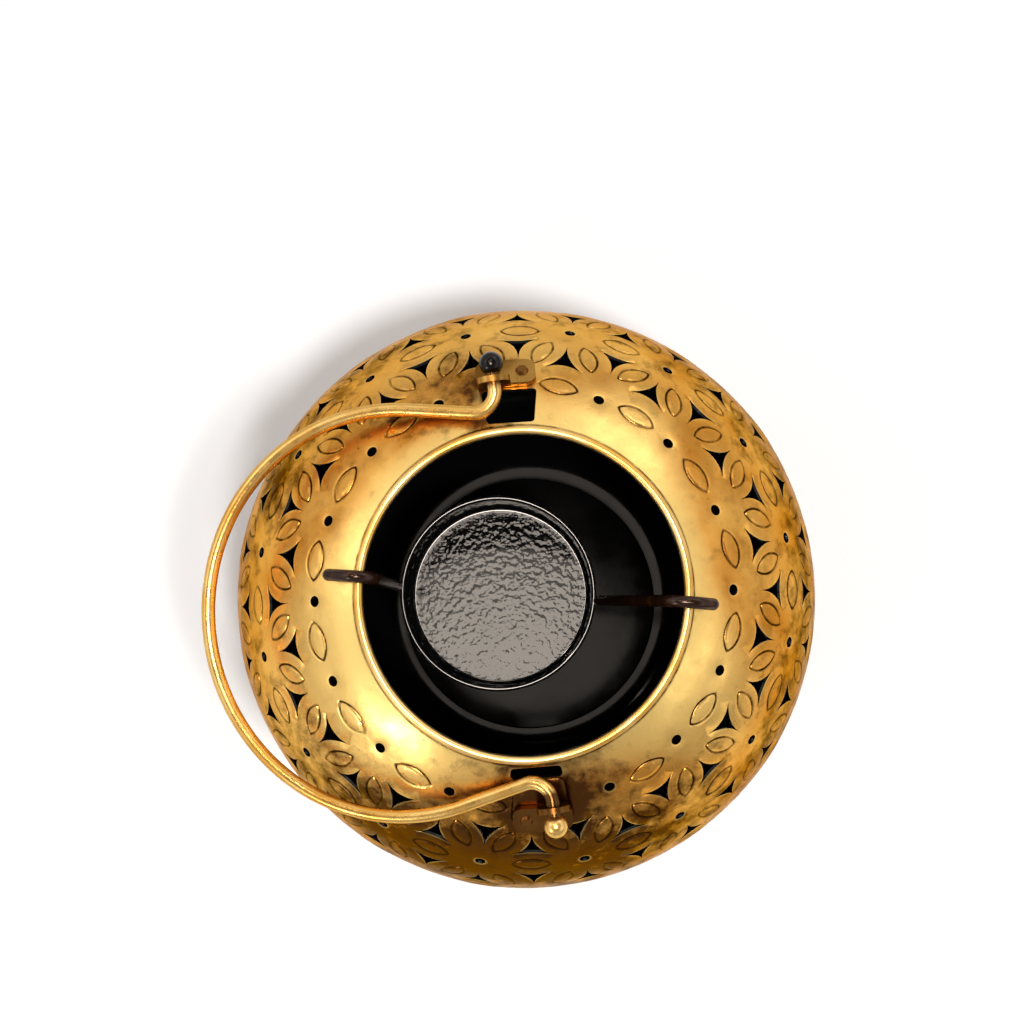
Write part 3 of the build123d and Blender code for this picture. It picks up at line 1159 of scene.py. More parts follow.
    def add_almonds(self, length: float, half_steps: int, shift: float, lean: float, width: float) -> None:
        """Chase one row of almonds: a line sunk round each, with its middle left slightly crowned.

        Args:
            length: Length of the row along the wall.
            half_steps: 0 or 1, as for the row of stars or dots it goes with.
            shift: Part of a repeat that the row is moved round by.
            lean: Turn of the almonds on the wall, in degrees.
            width: Width of an almond.
        """
        turns = self.row(half_steps) + shift * TAU / self.repeats
        seam = half_steps if shift == 0 else 1
        if shift != 0:
            turns = turns[: self.repeats]
        lengths = length + self.errors(turns, seam, self.almond_error_along)
        turns = turns + self.errors(turns, seam, self.almond_error_around) / self.drawing_radius
        leans = math.radians(lean) + self.errors(turns, seam, math.radians(self.almond_error_lean))
        if length > self.lug_rows_from:
            free = ~self.near_lugs(turns)
            turns, lengths, leans = turns[free], lengths[free], leans[free]
        half_line = self.line_width / 2
        half_floor = self.line_floor_share * half_line
        steps = (
            (half_line + self.line_margin, 0.0, 0.0),
            (half_line, 0.0, 0.0),
            (half_floor, -self.line_depth, 1.0),
            (-half_floor, -self.line_depth, 1.0),
            (-half_line, self.almond_edge, 0.0),
        )
        for offset, lift, line in steps:
            outline = almond_outline(self.almond_length + 2 * offset, width + 2 * offset)
            self.drawing.loops(self.spread(outline, turns, lengths, leans), lift, line)
        long_share, wide_share = self.crown_shares
        crown = almond_outline(long_share * self.almond_length, wide_share * width, per_side=8)
        self.drawing.loops(self.spread(crown, turns, lengths, leans), self.almond_crown)
        self.drawing.add(self.spread(np.zeros((1, 2)), turns, lengths, leans), self.almond_crown)
        radius = self.wall.section(lengths)[0]
        for along in np.array([-0.3, 0.0, 0.3]) * self.almond_length:
            self.block(
                turns + along * np.cos(leans) / radius,
                lengths + along * np.sin(leans),
                width / 2 + self.almond_clear,
            )

    def add_lug_cuts(self) -> None:
        """Cut the window in front of each lug and the hole for its rivet, and chase the front lug's tab."""
        turns = np.radians(np.array(self.lug_turns))
        turns = np.where(turns < self.start, turns + TAU, turns)
        level = np.zeros(1)
        for turn, size in zip(turns, self.window_lengths):
            window = np.array([self.window_end - size / 2])
            radius = self.wall.section(window)[0]
            at_window = turn - self.lug_offset / radius
            outline = box_outline(self.window_width, size, self.window_corner)
            self.drawing.pierce(self.spread(outline, at_window, window, level))
            for step in np.array([-0.3, -0.1, 0.1, 0.3]) * self.window_width:
                self.block(at_window + step / radius, window, self.window_clear + size / 4)
        rivet = np.full(len(turns), self.wall.lug_place - self.lug_foot_length / 2)
        at_rivet = turns - self.rivet_offset / self.wall.section(rivet)[0]
        self.drawing.pierce(self.spread(round_outline(self.rivet_hole), at_rivet, rivet, 0 * rivet))
        self.block(at_rivet, rivet, self.rivet_clear)
        low, high = self.tab_ends
        tab = np.array([(low + high) / 2])
        at_tab = turns[-1] - self.lug_offset / self.wall.section(tab)[0]
        steps = (
            (self.tab_half_line, 0.0, 0.0),
            (0.0, -self.tab_line_depth, 1.0),
            (-self.tab_half_line, 0.0, 0.0),
        )
        for offset, lift, line in steps:
            outline = box_outline(
                self.tab_width + 2 * offset, high - low + 2 * offset, self.tab_corner + offset
            )
            self.drawing.loops(self.spread(outline, at_tab, tab, level), lift, line)

    def fill(self) -> None:
        """Add the sheet's edges, the seam and evenly spaced points between the pattern's loops."""
        low, high = self.seam
        columns = int((high - low) / self.mesh_spacing)
        rows = max(2, int(self.top_length / self.mesh_spacing))
        across = np.linspace(low, high, columns + 1)
        along = np.linspace(0, self.top_length, rows + 1)
        grid = np.stack(np.meshgrid(across, along, indexing="ij"), -1)
        grid[1:-1, 1::2, 0] += (high - low) / columns / 2
        flat = grid[:, 1:-1].reshape(-1, 2)
        radius = self.wall.section(flat[:, 1])[0]
        free = np.ones(len(flat), bool)
        for turns, lengths, clear in self.blocked:
            around = (flat[:, None, 0] / self.drawing_radius - turns[None, :] + math.pi) % TAU - math.pi
            apart = np.hypot(around * radius[:, None], flat[:, None, 1] - lengths[None, :])
            free &= (apart > clear).all(axis=1)
        self.drawing.add(flat[free])
        rings = (
            (0.0, 0.0),
            (self.top_length, 1.0),
            (self.top_length - self.lip_line_from, 1.0),
            (self.top_length - self.lip_line_end, 0.0),
        )
        for length, line in rings:
            self.drawing.run(np.stack([across, np.full(len(across), length)], -1), line)
        for side in self.seam:
            self.drawing.run(np.array([[side, 0.0], [side, self.top_length]]))

    def draw(self) -> None:
        """Draw the whole pattern of the half shell."""
        low_row, mid_row, top_row = self.dot_rows
        star_rows = (
            (low_row + self.star_far_from_dots, 1, 1),
            (mid_row - self.star_near_dots, 0, -1),
            (mid_row + self.star_near_dots, 0, 1),
            (top_row - self.star_far_from_dots, 1, -1),
        )
        for length, half_steps, apex in star_rows[: self.pierced_star_rows]:
            self.add_stars(length, half_steps, apex)
        for number, length in enumerate(self.dot_rows[: self.pierced_dot_rows]):
            self.add_dots(length, number % 2)
        rising, falling = 90 - self.almond_lean, 90 + self.almond_lean
        above, below = mid_row + self.almond_band, mid_row - self.almond_band
        almond_rows = (
            (top_row - self.top_almonds_below_dots, 1, 0.0, 0.0, self.almond_width),
            (mid_row + self.middle_almonds_above_dots, 0, 0.0, 0.0, self.plump_almond_width),
            (low_row, 1, 0.0, 0.0, self.almond_width),
            (above, 0, 0.25, falling, self.slim_almond_width),
            (above, 0, 0.75, rising, self.slim_almond_width),
            (below, 0, 0.25, rising, self.slim_almond_width),
            (below, 0, 0.75, falling, self.slim_almond_width),
        )
        for length, half_steps, shift, lean, width in almond_rows:
            self.add_almonds(length, half_steps, shift, lean, width)
        if self.lug_turns:
            self.add_lug_cuts()
        self.fill()

    def collar(self, length: np.ndarray) -> np.ndarray:
        """Lift that flattens the upper half's wall round the mouth.

        It rises by a smooth step and then falls as a power of the way to the edge.

        Args:
            length: Lengths along the wall.

        Returns:
            One lift for each length.
        """
        if self.half is Half.LOWER:
            return 0 * length
        rise = ramp(length, self.collar_start, self.collar_top)
        fall = ramp(length, self.collar_top, self.top_length)
        return self.collar_rise * rise**2 * (3 - 2 * rise) - self.collar_fall * fall**self.collar_power

    def beaten(self, turn: np.ndarray, length: np.ndarray) -> np.ndarray:
        """Slight waves of a hand-beaten wall: two sets, of five and of eleven waves round the globe.

        Each set is a slanting sine round the globe times a sine or a cosine along the wall.

        Args:
            turn: Angles round the axis.
            length: Lengths along the wall.

        Returns:
            One lift for each place.
        """
        wide = np.sin(5 * turn + 0.21 * length) * np.sin(0.33 * length + 1.7)
        narrow = np.sin(11 * turn - 0.13 * length + 0.6) * np.cos(0.27 * length)
        return self.beaten_depth * (wide + narrow)

    def sewn_faces(self) -> tuple[np.ndarray, np.ndarray, np.ndarray]:
        """Divide the drawing into triangles and sew its two ends together.

        Returns:
            The drawing's points, the triangles, and each point's lift, line and edge values.
        """
        flat, faces, values = self.drawing.faces()
        low, high = self.seam
        middle = flat[faces].mean(axis=1)
        faces = faces[(middle[:, 0] > low) & (middle[:, 0] < high)]
        left = np.flatnonzero(np.abs(flat[:, 0] - low) < SAME_PLACE)
        right = np.flatnonzero(np.abs(flat[:, 0] - high) < SAME_PLACE)
        same = np.arange(len(flat))
        same[right] = left[np.abs(flat[right, 1][:, None] - flat[left, 1][None, :]).argmin(axis=1)]
        used, faces = np.unique(same[faces], return_inverse=True)
        return flat[used], faces.reshape(-1, 3), values[used]

    def build(self, name: str, gold: bpy.types.Material, black: bpy.types.Material) -> bpy.types.Object:
        """Turn the drawing into a sheet with two faces and the walls of its cuts.

        The cuts run along the edges that only one triangle has.

        Args:
            name: The piece's name.
            gold: Finish of the outside.
            black: Finish of the inside and of the cuts.

        Returns:
            The half shell.
        """
        self.draw()
        flat, faces, values = self.sewn_faces()
        lift, line, edge = values.T
        turn, length = flat[:, 0] / self.drawing_radius, flat[:, 1]
        form = self.beaten(turn, length) + self.collar(length)
        outside = self.wall.place(turn, length, form + lift - self.outside_inset, self.half)
        inside = self.wall.place(turn, length, form - self.sheet, self.half)
        if self.half is Half.LOWER:
            faces = faces[:, ::-1]
        count = len(flat)
        sides = np.concatenate([faces[:, [0, 1]], faces[:, [1, 2]], faces[:, [2, 0]]])
        ends = np.sort(sides, axis=1).astype(np.int64)
        _, first, times = np.unique(ends[:, 0] * count + ends[:, 1], return_index=True, return_counts=True)
        start, end = sides[first[times == 1]].T
        cuts = np.stack([end, start, start + count, end + count], -1)
        finish = np.concatenate([np.zeros(len(faces)), np.ones(len(faces) + len(cuts))])
        # The outside carries the chased lines, the painted highlight of cut edges, the painted shade and
        # the painted highlight round the mouth.
        marks = {
            "line": np.concatenate([line, np.zeros(count)]),
            "edge": np.concatenate([edge, np.ones(count)]),
            "painted_shade": np.tile(self.painted_light.painted_shade(outside, self.half), 2),
            "painted_highlight": np.tile(self.painted_light.painted_highlight(outside, self.half), 2),
        }
        points = np.concatenate([outside, inside])
        blocks = [faces, faces[:, ::-1] + count, cuts]
        piece = make_piece(name, points, blocks, [gold, black], finish, marks)
        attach(piece, Body.LANTERN.value)
        return piece


@dataclass
class Globe:
    """The lantern's body: two half shells and the lip bead; its lugs, rivets and base are CAD nodes."""

    wall: GlobeWall
    sheet: float = 0.8
    lug_turns: tuple[float, float] = (90.0, 270.0)
    lower_pattern_turn: float = 21.725
    lower_pierced_rows: int = 2
    mouth_radius: float = 30.7
    lip_wire: float = 1.8
    lip_bite: float = 0.5
    lip_sides: int = 20
    lip_steps: int = 192
    lip_waves: tuple[tuple[float, int, float], ...] = ((0.0012, 3, 0.5), (0.0006, 7, 0.0))

    @property
    def lip_centre(self) -> float:
        """Radius of the lip wire's centre line."""
        return self.mouth_radius + self.lip_wire / 2

    @property
    def lip_height(self) -> float:
        """Height of the lip wire's centre line, in the middle of the sheet."""
        mid_sheet = self.wall.shoulder_radius - self.sheet / 2
        return self.wall.shoulder_centre_height + math.sqrt(mid_sheet**2 - self.lip_centre**2)

    @property
    def lip_top(self) -> float:
        """Height of the lip's top, to a hundredth of a millimetre."""
        return round(self.lip_height + self.lip_wire / 2, 2)

    def build(
        self, gold: bpy.types.Material, lip_gold: bpy.types.Material, black: bpy.types.Material
    ) -> list[bpy.types.Object]:
        """Build the shells and the lip.

        Args:
            gold: Finish of the shells, which reads their marks.
            lip_gold: Finish of the lip.
            black: Finish of the inside.

        Returns:
            The new pieces.
        """
        upper_length = self.wall.length_at(self.lip_centre - self.lip_bite)
        upper = GlobeShell(
            Half.UPPER, self.wall, upper_length, self.sheet, lug_turns=self.lug_turns
        ).build("globe_upper_half", gold, black)
        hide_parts("upper_shell")
        lower_length = self.wall.length_at(self.wall.base_opening_radius)
        lower = GlobeShell(
            Half.LOWER,
            self.wall,
            lower_length,
            self.sheet,
            pattern_turn=self.lower_pattern_turn,
            pierced_dot_rows=self.lower_pierced_rows,
            pierced_star_rows=self.lower_pierced_rows,
        ).build("globe_lower_half", gold, black)
        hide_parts("lower_shell")
        return [upper, lower, self.lip(lip_gold)]

    def lip(self, finish: bpy.types.Material) -> bpy.types.Object:
        """Spin the wire bead round the mouth: a circle turned about the axis.

        Its radius is swelled by two slight sines of the turn, as a hand bends it.

        Args:
            finish: Gold of the bead.

        Returns:
            The bead.
        """
        angle = np.linspace(0, TAU, self.lip_sides, endpoint=False)
        circle = np.stack([np.cos(angle), np.sin(angle)], -1) * self.lip_wire / 2
        points, quads = spin(circle + np.array([self.lip_centre, self.lip_height]), self.lip_steps)
        turn = np.arctan2(points[:, 1], points[:, 0])
        waves = sum(size * np.sin(count * turn + phase) for size, count, phase in self.lip_waves)
        points[:, :2] *= 1 + waves[:, None]
        piece = make_piece("lip_bead", points, [quads], [finish])
        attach(piece, Body.LANTERN.value)
        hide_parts("lip_ring")
        return piece


@dataclass
class Bail:
    """Folding wire bail: straight ends through the ears, tight curls, a long arch, a ball on each end."""

    wall: GlobeWall
    pivot_height: float = 91.615
    fold: float = 15.08
    ear_sheet: float = 1.1
    wire_diameter: float = 2.7
    wire_sides: int = 24
    reach: float = 66.0
    arc_radius: float = 39.5
    curl_radius: float = 4.0
    curl_setback: float = 1.0
    end_steps: int = 8
    curl_steps: int = 26
    arch_steps: int = 90
    bead_diameter: float = 4.6
    bead_ear_gap: float = 0.35
    bead_rings: int = 24
    bead_sides: int = 40
    dark_before_ear_front: float = 4.5
    dark_before_ear_back: float = 2.0
    dark_fade: float = 3.0
    dark_radii: tuple[float, float] = (5.5, 3.5)

    @property
    def ear_face(self) -> float:
        """Distance of the ears' inner faces from the middle."""
        return float(self.wall.section(np.array(self.wall.lug_place))[0])

    @property
    def end(self) -> float:
        """Distance of the wire's ends from the middle."""
        return self.ear_face + self.ear_sheet + self.bead_ear_gap + self.bead_diameter

    def route(self) -> np.ndarray:
        """Centre line in the bail's own plane, out from the pivot and across.

        Half of it is a straight end, a quarter-turn curl that leans outwards and the run that touches both
        the curl and the arch; the other half is its mirror image.

        Returns:
            Rows of distance from the pivot's line and distance across.
        """
        curl_start = self.ear_face - self.curl_setback
        arch_centre = self.reach - self.arc_radius
        between = math.hypot(arch_centre - self.curl_radius, curl_start)
        lean = math.atan2(arch_centre - self.curl_radius, curl_start)
        lean -= math.acos((self.arc_radius + self.curl_radius) / between)
        tip = self.end - self.wire_diameter / 2
        across = np.linspace(tip, curl_start, self.end_steps, endpoint=False)
        straight = np.stack([0 * across, across], -1)
        angle = math.pi + np.linspace(0, math.pi / 2 + lean, self.curl_steps)
        curl = self.curl_radius * np.stack([np.cos(angle), np.sin(angle)], -1)
        curl += np.array([self.curl_radius, curl_start])
        angle = np.linspace(math.pi / 2 + lean, 0, self.arch_steps)
        arch = self.arc_radius * np.stack([np.cos(angle), np.sin(angle)], -1)
        arch += np.array([arch_centre, 0])
        half = np.concatenate([straight, curl, arch[:-1]])
        return np.concatenate([half, arch[-1:], half[::-1] * np.array([1, -1])])

    def arch(self, finish: bpy.types.Material) -> bpy.types.Object:
        """Carry the wire along its route and paint shade on its ends at the ears, close to the pivot's
        line.

        Args:
            finish: Gold of the wire, which reads the painted shade mark.

        Returns:
            The wire.
        """
        fold, route = math.radians(self.fold), self.route()
        out, along = np.array([-math.cos(fold), 0, -math.sin(fold)]), np.array([0.0, 1.0, 0.0])
        path = np.array([0, 0, self.pivot_height]) + route[:, :1] * out + route[:, 1:] * along
        points, faces = wire(path, np.cross(out, along), self.wire_diameter / 2, self.wire_sides)
        # Painted shade on the wire's ends, starting further before the ear at the front.
        dark = np.where(points[:, 1] < 0, self.dark_before_ear_front, self.dark_before_ear_back)
        start = self.ear_face - dark
        painted_shade = ramp(np.abs(points[:, 1]), start, start + self.dark_fade)
        painted_shade *= ramp(np.hypot(points[:, 0], points[:, 2] - self.pivot_height), *self.dark_radii)
        return make_piece("bail_arch", points, faces, [finish], marks={"painted_shade": painted_shade})

    def ball(self, name: str, side: int, finish: bpy.types.Material) -> bpy.types.Object:
        """Stack circles along the pivot's line, sized by the sine of the angle from the ball's pole.

        Args:
            name: The piece's name.
            side: 1 at the back, -1 at the front.
            finish: The ball's finish.

        Returns:
            The ball.
        """
        radius = self.bead_diameter / 2
        angle = np.linspace(0, math.pi, self.bead_rings + 2)[1:-1]
        along = side * (self.end - radius) - radius * np.cos(angle)
        middles = np.stack([0 * along, along, np.full(len(along), self.pivot_height)], -1)
        up, right = np.array([0.0, 0.0, 1.0]), np.array([1.0, 0.0, 0.0])
        points, faces = ring_stack(middles, radius * np.sin(angle), up, right, self.bead_sides)
        return make_piece(name, points, faces, [finish])

    def build(self, finish: bpy.types.Material, dark: bpy.types.Material) -> list[bpy.types.Object]:
        """Build the wire and its balls.

        Args:
            finish: Gold of the wire and of the front ball.
            dark: Near-black brown of the back ball: painted shade, where the front ball is gold.

        Returns:
            The new pieces.
        """
        pieces = [self.arch(finish)]
        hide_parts("bail_wire")
        for name, side, lacquer in (("back", 1, dark), ("front", -1, finish)):
            pieces.append(self.ball(f"bail_ball_{name}", side, lacquer))
            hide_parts(f"bail_bead_{name}")
        for piece in pieces:
            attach(piece, Body.BAIL.value)
        return pieces


@dataclass
class CupHanger:
    """Candle cup pressed from sheet, with a rolled rim, on two bent wires that hook over the lip."""

    globe: Globe
    bore_radius: float = 20.5
    cup_wall: float = 0.9
    depth: float = 17.0
    corner: float = 3.0
    floor_corner: float = 0.9
    rim_wire: float = 1.1
    rim_inset: float = 0.05
    pole_radius: float = 0.4
    floor_rings: int = 25
    under_rings: int = 7
    corner_steps: int = 8
    rim_steps: int = 16
    cup_sides: int = 144
    hang: float = 48.25
    shift: float = 6.5
    offset: float = 1.0
    hook_wire: float = 2.4
    line_turn: float = -12.4
    hook_seat: float = 0.35
    rest_gap: float = 0.3
    bend: float = 3.2
    leg: float = 12.0
    over_lip: float = 1.5
    tip_gap: float = 0.6
    tip_cut: float = 0.96
    left_tip: float = 38.3
    right_tip: float = 36.9
    right_inset: float = 2.6
    right_knee: float = 3.0

    @property
    def rim_height(self) -> float:
        """Height of the cup's rim."""
        return self.globe.lip_top - self.hang

    @property
    def line(self) -> np.ndarray:
        """Direction in plan from the left hook to the right one."""
        turn = math.radians(self.line_turn)
        return np.array([math.cos(turn), math.sin(turn), 0.0])

    @property
    def foot(self) -> np.ndarray:
        """Place in plan where the hooks' plane passes the lantern's axis."""
        return self.offset * np.cross([0, 0, 1], self.line)

    def profile(self) -> np.ndarray:
        """Half section of the cup: underside, round corner, outside, rolled rim, bore and floor.

        The corners are quarter circles and the rim is an arc of rather more than half a turn.

        Returns:
            Rows of radius and height, from the middle of the underside to the middle of the floor.
        """
        floor = self.rim_height - self.depth
        low = floor - self.cup_wall
        outer, inner = self.bore_radius + self.cup_wall, self.bore_radius - self.floor_corner
        quarter = np.linspace(0, TAU / 4, self.corner_steps)
        floor_radii = np.linspace(self.pole_radius, inner, self.floor_rings, endpoint=False)
        bottom = np.stack([floor_radii, np.full(self.floor_rings, floor)], -1)
        inside = self.floor_corner * np.stack([np.sin(quarter), -np.cos(quarter)], -1)
        inside += np.array([inner, floor + self.floor_corner])
        roll = np.linspace(math.pi, -TAU / 12, self.rim_steps)
        rim = np.stack([np.cos(roll), np.sin(roll)], -1) * self.rim_wire / 2
        rim += np.array([self.bore_radius + self.rim_inset, self.rim_height])
        rim += np.array([1, -1]) * self.rim_wire / 2
        outside = self.corner * np.stack([np.cos(quarter), -np.sin(quarter)], -1)
        outside += np.array([outer - self.corner, low + self.corner])
        under_radii = np.linspace(outer - self.corner, self.pole_radius, self.under_rings + 1)[1:]
        under = np.stack([under_radii, np.full(self.under_rings, low)], -1)
        return np.concatenate([bottom, inside, rim, outside, under])[::-1]

    def cup(self, finish: bpy.types.Material, peeled: bpy.types.Material) -> bpy.types.Object:
        """Skin the profile turned about the cup's own axis.

        Args:
            finish: Black enamel.
            peeled: Enamel of the floor inside, with a coarser skin.

        Returns:
            The cup.
        """
        profile = self.profile()
        floor = profile[-1, 1]
        middles = self.foot - self.shift * self.line + profile[:, 1:] * np.array([0.0, 0.0, 1.0])
        right, back = np.array([1.0, 0.0, 0.0]), np.array([0.0, 1.0, 0.0])
        points, faces = ring_stack(middles, profile[:, 0], right, back, self.cup_sides)
        level = np.abs(points[:, 2] - floor) < SAME_PLACE
        on_floor = np.concatenate([level[block].all(axis=1) for block in faces])
        piece = make_piece("candle_cup_pressed", points, faces, [finish, peeled], on_floor)
        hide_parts("candle_cup")
        return piece

    def tip(self, radius: float) -> tuple[float, float]:
        """Radius and height of a hook's tip, a gap off the shoulder."""
        out = self.globe.wall.shoulder_radius + self.hook_wire / 2 + self.tip_gap
        return radius, self.globe.wall.shoulder_centre_height + math.sqrt(out**2 - radius**2)

    def hooks(self, finish: bpy.types.Material) -> list[bpy.types.Object]:
        """Bend the two hooks in their upright plane, from the cup's wall up and over the lip.

        Args:
            finish: Brown lacquer.

        Returns:
            The two hooks.
        """
        top = self.globe.lip_top + self.rest_gap + self.hook_wire / 2
        reach = self.bore_radius + self.cup_wall + self.hook_wire / 2 - self.hook_seat
        over = self.globe.lip_centre + self.over_lip
        left, right = -self.shift - reach, -self.shift + reach
        foot, knee = self.rim_height - self.leg, self.rim_height + self.right_knee
        left_radius, left_height = self.tip(self.left_tip)
        routes = {
            "left": [(left, foot), (left, top), (-over, top), (-left_radius, left_height)],
            "right": [
                (right, foot),
                (right, knee),
                (self.globe.mouth_radius - self.right_inset, top),
                (over, top),
                self.tip(self.right_tip),
            ],
        }
        up = np.array([0.0, 0.0, 1.0])
        pieces = []
        for name, corners in routes.items():
            flat = bent_line(np.array(corners), self.bend)
            path = self.foot + flat[:, :1] * self.line + flat[:, 1:] * up
            path[-1] -= (path[-1] - path[-2]) / np.linalg.norm(path[-1] - path[-2]) * self.tip_cut
            points, faces = wire(path, np.cross(self.line, up), self.hook_wire / 2)
            piece = make_piece(f"hook_{name}", points, faces, [finish])
            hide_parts(f"cup_hook_{name}")
            pieces.append(piece)
        return pieces

    def build(
        self, enamel: bpy.types.Material, peeled: bpy.types.Material, brown: bpy.types.Material
    ) -> list[bpy.types.Object]:
        """Build the cup and its hooks and let them ride on the cup's body.

        Args:
            enamel: Finish of the cup.
            peeled: Finish of its floor inside.
            brown: Finish of the hooks.

        Returns:
            The new pieces.
        """
        pieces = [self.cup(enamel, peeled), *self.hooks(brown)]
        for piece in pieces:
            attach(piece, Body.CUP.value)
        return pieces


@dataclass(frozen=True)
class Lamp:
    """Round soft lamp: its place and size in millimetres, its power in watts and what shows it."""

    name: str
    place: tuple[float, float, float]
    size: float
    power: float
    colour: str = "#FFFFFF"
    in_reflections: bool = True
    on_matt: bool = True


@dataclass
class Studio:
    """White floor, soft light and the camera over the lantern.

    The sky's levels go with the rise of the direction, its front with the direction towards -Y.
    """

    wall: GlobeWall
    camera_height: float = 395.5
    camera_back: float = 7.4
    camera_side: float = 5.0
    focal_px: float = 1600.0
    frame_px: float = 1024.0
    centre_px: tuple[float, float] = (527.0, 600.0)
    image_turn: float = -8.0
    film_width: float = 36.0
    near_clip: float = 10.0
    paper: str = "#EDEDED"
    floor_half_side: float = 3000.0
    sky_levels: tuple[tuple[float, float], ...] = (
        (0.0, 0.55),
        (0.17, 0.8),
        (0.35, 1.02),
        (0.5, 1.2),
        (0.62, 1.05),
        (0.75, 0.3),
        (0.9, 0.08),
    )
    front_level: float = 0.55
    front_range: tuple[float, float] = (-0.75, -0.3)
    lamp_aim: tuple[float, float, float] = (0.0, 0.0, 60.0)
    lamp_set: tuple[Lamp, ...] = (
        Lamp("key_softbox", (110.0, -150.0, 760.0), 110.0, 4.4, in_reflections=False),
        Lamp("overhead", (-31.0, -50.0, 800.0), 216.0, 4.1, "#FFF2E4", on_matt=False),
        Lamp("back_high", (40.0, 330.0, 780.0), 160.0, 0.45, "#FFF2E4", on_matt=False),
        Lamp("spark", (-234.0, 260.0, 780.0), 44.0, 0.6, "#FFF2E4", on_matt=False),
        Lamp("back_right", (369.0, 440.0, 385.0), 300.0, 0.25),
        Lamp("front_left", (-462.0, -348.0, 375.0), 130.0, 0.6),
        Lamp("front_right", (462.0, -300.0, 424.0), 300.0, 0.12),
        Lamp("back_left", (-484.0, 205.0, 462.0), 300.0, 0.25),
    )

    def build(self) -> None:
        """Make the floor, the world, the lamps and the camera."""
        self.floor()
        self.world()
        self.lamps()
        self.camera()
        bpy.context.scene.view_settings.view_transform = "Standard"

    def floor(self) -> None:
        """White paper, matt all over."""
        material, tree = new_material("white_paper_sweep")
        paper = add_node(tree, "BsdfDiffuse", {"Color": linear(self.paper)})
        add_node(tree, "OutputMaterial", {"Surface": paper.outputs[0]})
        corners = np.array([[-1, -1, 0], [1, -1, 0], [1, 1, 0], [-1, 1, 0]])
        points = corners * self.floor_half_side
        make_piece("floor", points, [np.array([[0, 1, 2, 3]])], [material])

    def world(self) -> None:
        """Sky by height: brightest half-way up, lower at the horizon, dark overhead, dimmer in front."""
        world = bpy.data.worlds.new("studio")
        world.use_nodes = True
        tree = world.node_tree
        tree.nodes.clear()
        way = add_node(tree, "TexCoord").outputs["Generated"]
        split = add_node(tree, "SeparateXYZ", {"Vector": way})
        sky = add_node(tree, "ValToRGB", {"Fac": split.outputs["Z"]})
        sky.color_ramp.interpolation = "EASE"
        stops = sky.color_ramp.elements
        for number, (rise, level) in enumerate(self.sky_levels):
            stop = stops[number] if number < len(stops) else stops.new(rise)
            stop.position = rise
            stop.color = (level, level, level, 1.0)
        low, high = self.front_range
        strength = add_node(
            tree,
            "MapRange",
            {"Value": split.outputs["Y"], "From Min": low, "From Max": high, "To Min": self.front_level},
            interpolation_type="SMOOTHSTEP",
        ).outputs["Result"]
        shade = add_node(tree, "Background", {"Color": sky.outputs["Color"], "Strength": strength})
        add_node(tree, "OutputWorld", {"Surface": shade.outputs[0]})
        bpy.context.scene.world = world

    def lamps(self) -> None:
        """Key above the front right, three lamps overhead for the metal's highlights and four low ones."""
        for lamp in self.lamp_set:
            light = bpy.data.lights.new(lamp.name, "AREA")
            light.shape = "DISK"
            light.size = lamp.size * MM
            light.energy = lamp.power
            light.color = linear(lamp.colour)[:3]
            holder = bpy.data.objects.new(lamp.name, light)
            holder.visible_glossy = lamp.in_reflections
            holder.visible_diffuse = lamp.on_matt
            place = Vector(lamp.place)
            holder.location = place * MM
            holder.rotation_euler = (Vector(self.lamp_aim) - place).to_track_quat("-Z", "Y").to_euler()
            bpy.context.scene.collection.objects.link(holder)

    def camera(self) -> None:
        """Camera straight above, moved slightly to the front and right, framed by shifting the film."""
        camera = bpy.data.cameras.new("above")
        camera.sensor_width = self.film_width
        camera.lens = self.focal_px / self.frame_px * self.film_width
        distance = self.camera_height - self.wall.equator_height
        drop = self.focal_px * self.camera_back / distance
        aside = self.focal_px * self.camera_side / distance
        camera.shift_x = (self.frame_px / 2 - self.centre_px[0] - aside) / self.frame_px
        camera.shift_y = (self.centre_px[1] - self.frame_px / 2 + drop) / self.frame_px
        camera.clip_start = self.near_clip * MM
        turn = math.radians(self.image_turn)
        up = np.array([-math.sin(turn), math.cos(turn)])
        right = np.array([math.cos(turn), math.sin(turn)])
        across, back = self.camera_side * right - self.camera_back * up
        eye = bpy.data.objects.new("above", camera)
        eye.location = Vector((across, back, self.camera_height)) * MM
        eye.rotation_euler = (0, 0, turn)
        bpy.context.scene.collection.objects.link(eye)
        bpy.context.scene.camera = eye


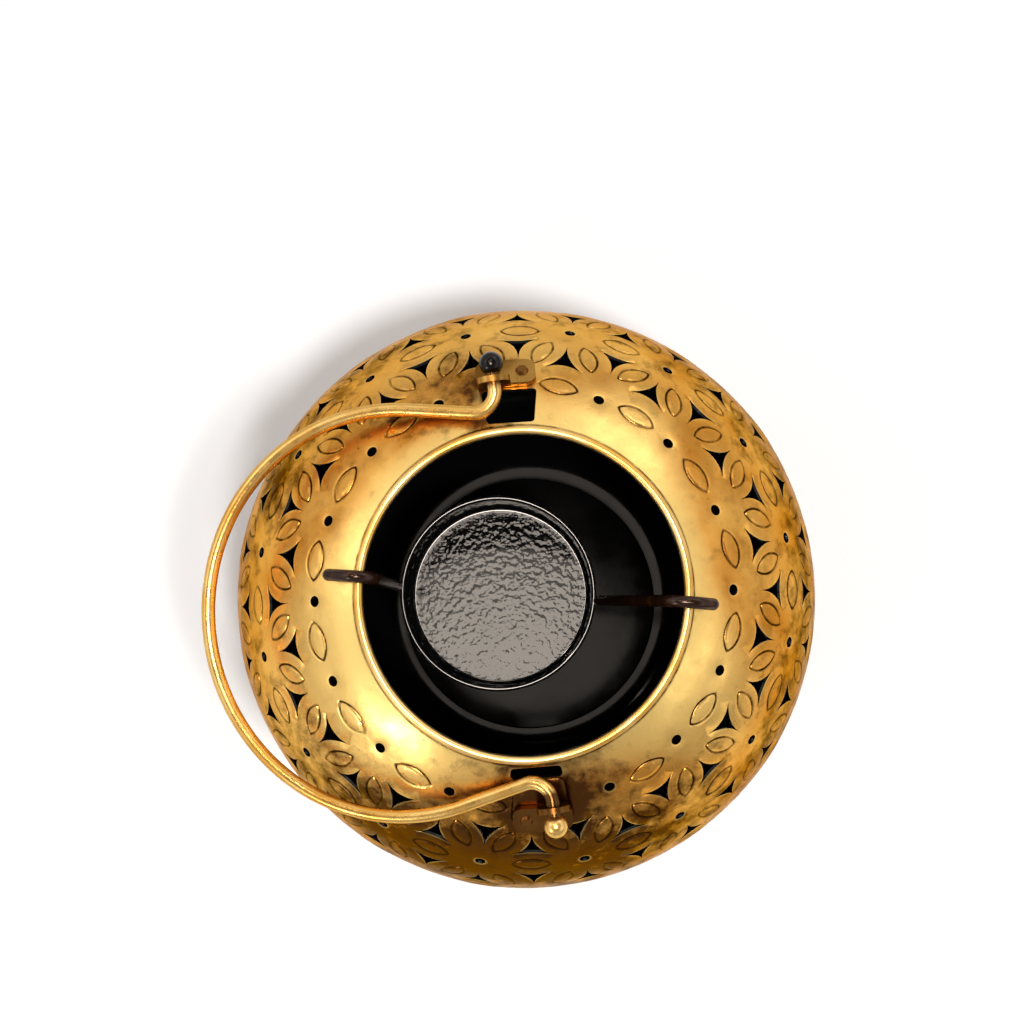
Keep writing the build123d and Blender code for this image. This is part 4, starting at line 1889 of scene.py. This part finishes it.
def dress_nodes(finishes: dict[str, bpy.types.Material]) -> None:
    """Give the CAD nodes that stay their finishes.

    Args:
        finishes: Node name to material.
    """
    for name, material in finishes.items():
        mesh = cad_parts[name].data
        mesh.materials.clear()
        mesh.materials.append(material)


def main() -> None:
    """Build the lantern's pieces in order and log their face counts, then build the studio."""
    logging.basicConfig(level=logging.INFO, format="%(message)s")
    wall = GlobeWall()
    globe = Globe(wall)
    shell_gold = AntiqueGold(marked=True).material()
    wire_gold = AntiqueGold(
        name="gold_lacquer_on_wire",
        pale="#F4CA7C",
        deep="#DDA44C",
        rough_low=0.22,
        rough_high=0.34,
        wax_share=0.12,
        speck_share=0.08,
        marked=True,
    ).material()
    lip_gold = AntiqueGold(
        name="gold_lacquer_on_bead",
        pale="#F8D690",
        deep="#E4B058",
        rough_low=0.3,
        wax_share=0.12,
        speck_share=0.12,
    ).material()
    # Darker copies of the gold for the lugs and rivets, the front one darker still: painted shade.
    lug_gold_shaded = AntiqueGold(
        name="gold_lacquer_on_strip_painted_shade", pale="#B98A44", deep="#7C5424"
    ).material()
    lug_gold_deep_shaded = AntiqueGold(
        name="gold_lacquer_on_strip_painted_deep_shade", pale="#80562A", deep="#4E3014"
    ).material()
    enamel = BlackEnamel().material()
    lining = BlackEnamel(
        name="black_enamel_sprayed_dull", roughness=0.12, specular=0.25, coat=0.0
    ).material()
    peeled = BlackEnamel(
        name="black_stoving_enamel_run",
        roughness=0.03,
        peel_mm=1.3,
        peel_depth_mm=0.05,
        peel_strength=1.0,
        peel_range=(0.2, 0.66),
        specular=0.085,
        coat=0.05,
    ).material()
    dull = BlackEnamel(
        name="black_enamel_sprayed_thin", roughness=0.08, specular=0.012, coat=0.0
    ).material()
    brown = BrownWire().material()
    # The back ball in near black: painted shade.
    back_ball_shaded = BrownWire(name="ball_painted_shade_near_black", colour="#0E0704", worn="#2A170B").material()
    dress_nodes(
        {
            "base_plate": dull,
            "bail_lug_back": lug_gold_shaded,
            "bail_lug_front": lug_gold_deep_shaded,
            "lug_rivets": lug_gold_deep_shaded,
        }
    )
    pieces = [
        *globe.build(shell_gold, lip_gold, lining),
        *Bail(wall).build(wire_gold, back_ball_shaded),
        *CupHanger(globe).build(enamel, peeled, brown),
    ]
    for piece in pieces:
        LOG.info("%s: %d faces", piece.name, len(piece.data.polygons))
    Studio(wall).build()


if __name__ == "__main__":
    main()
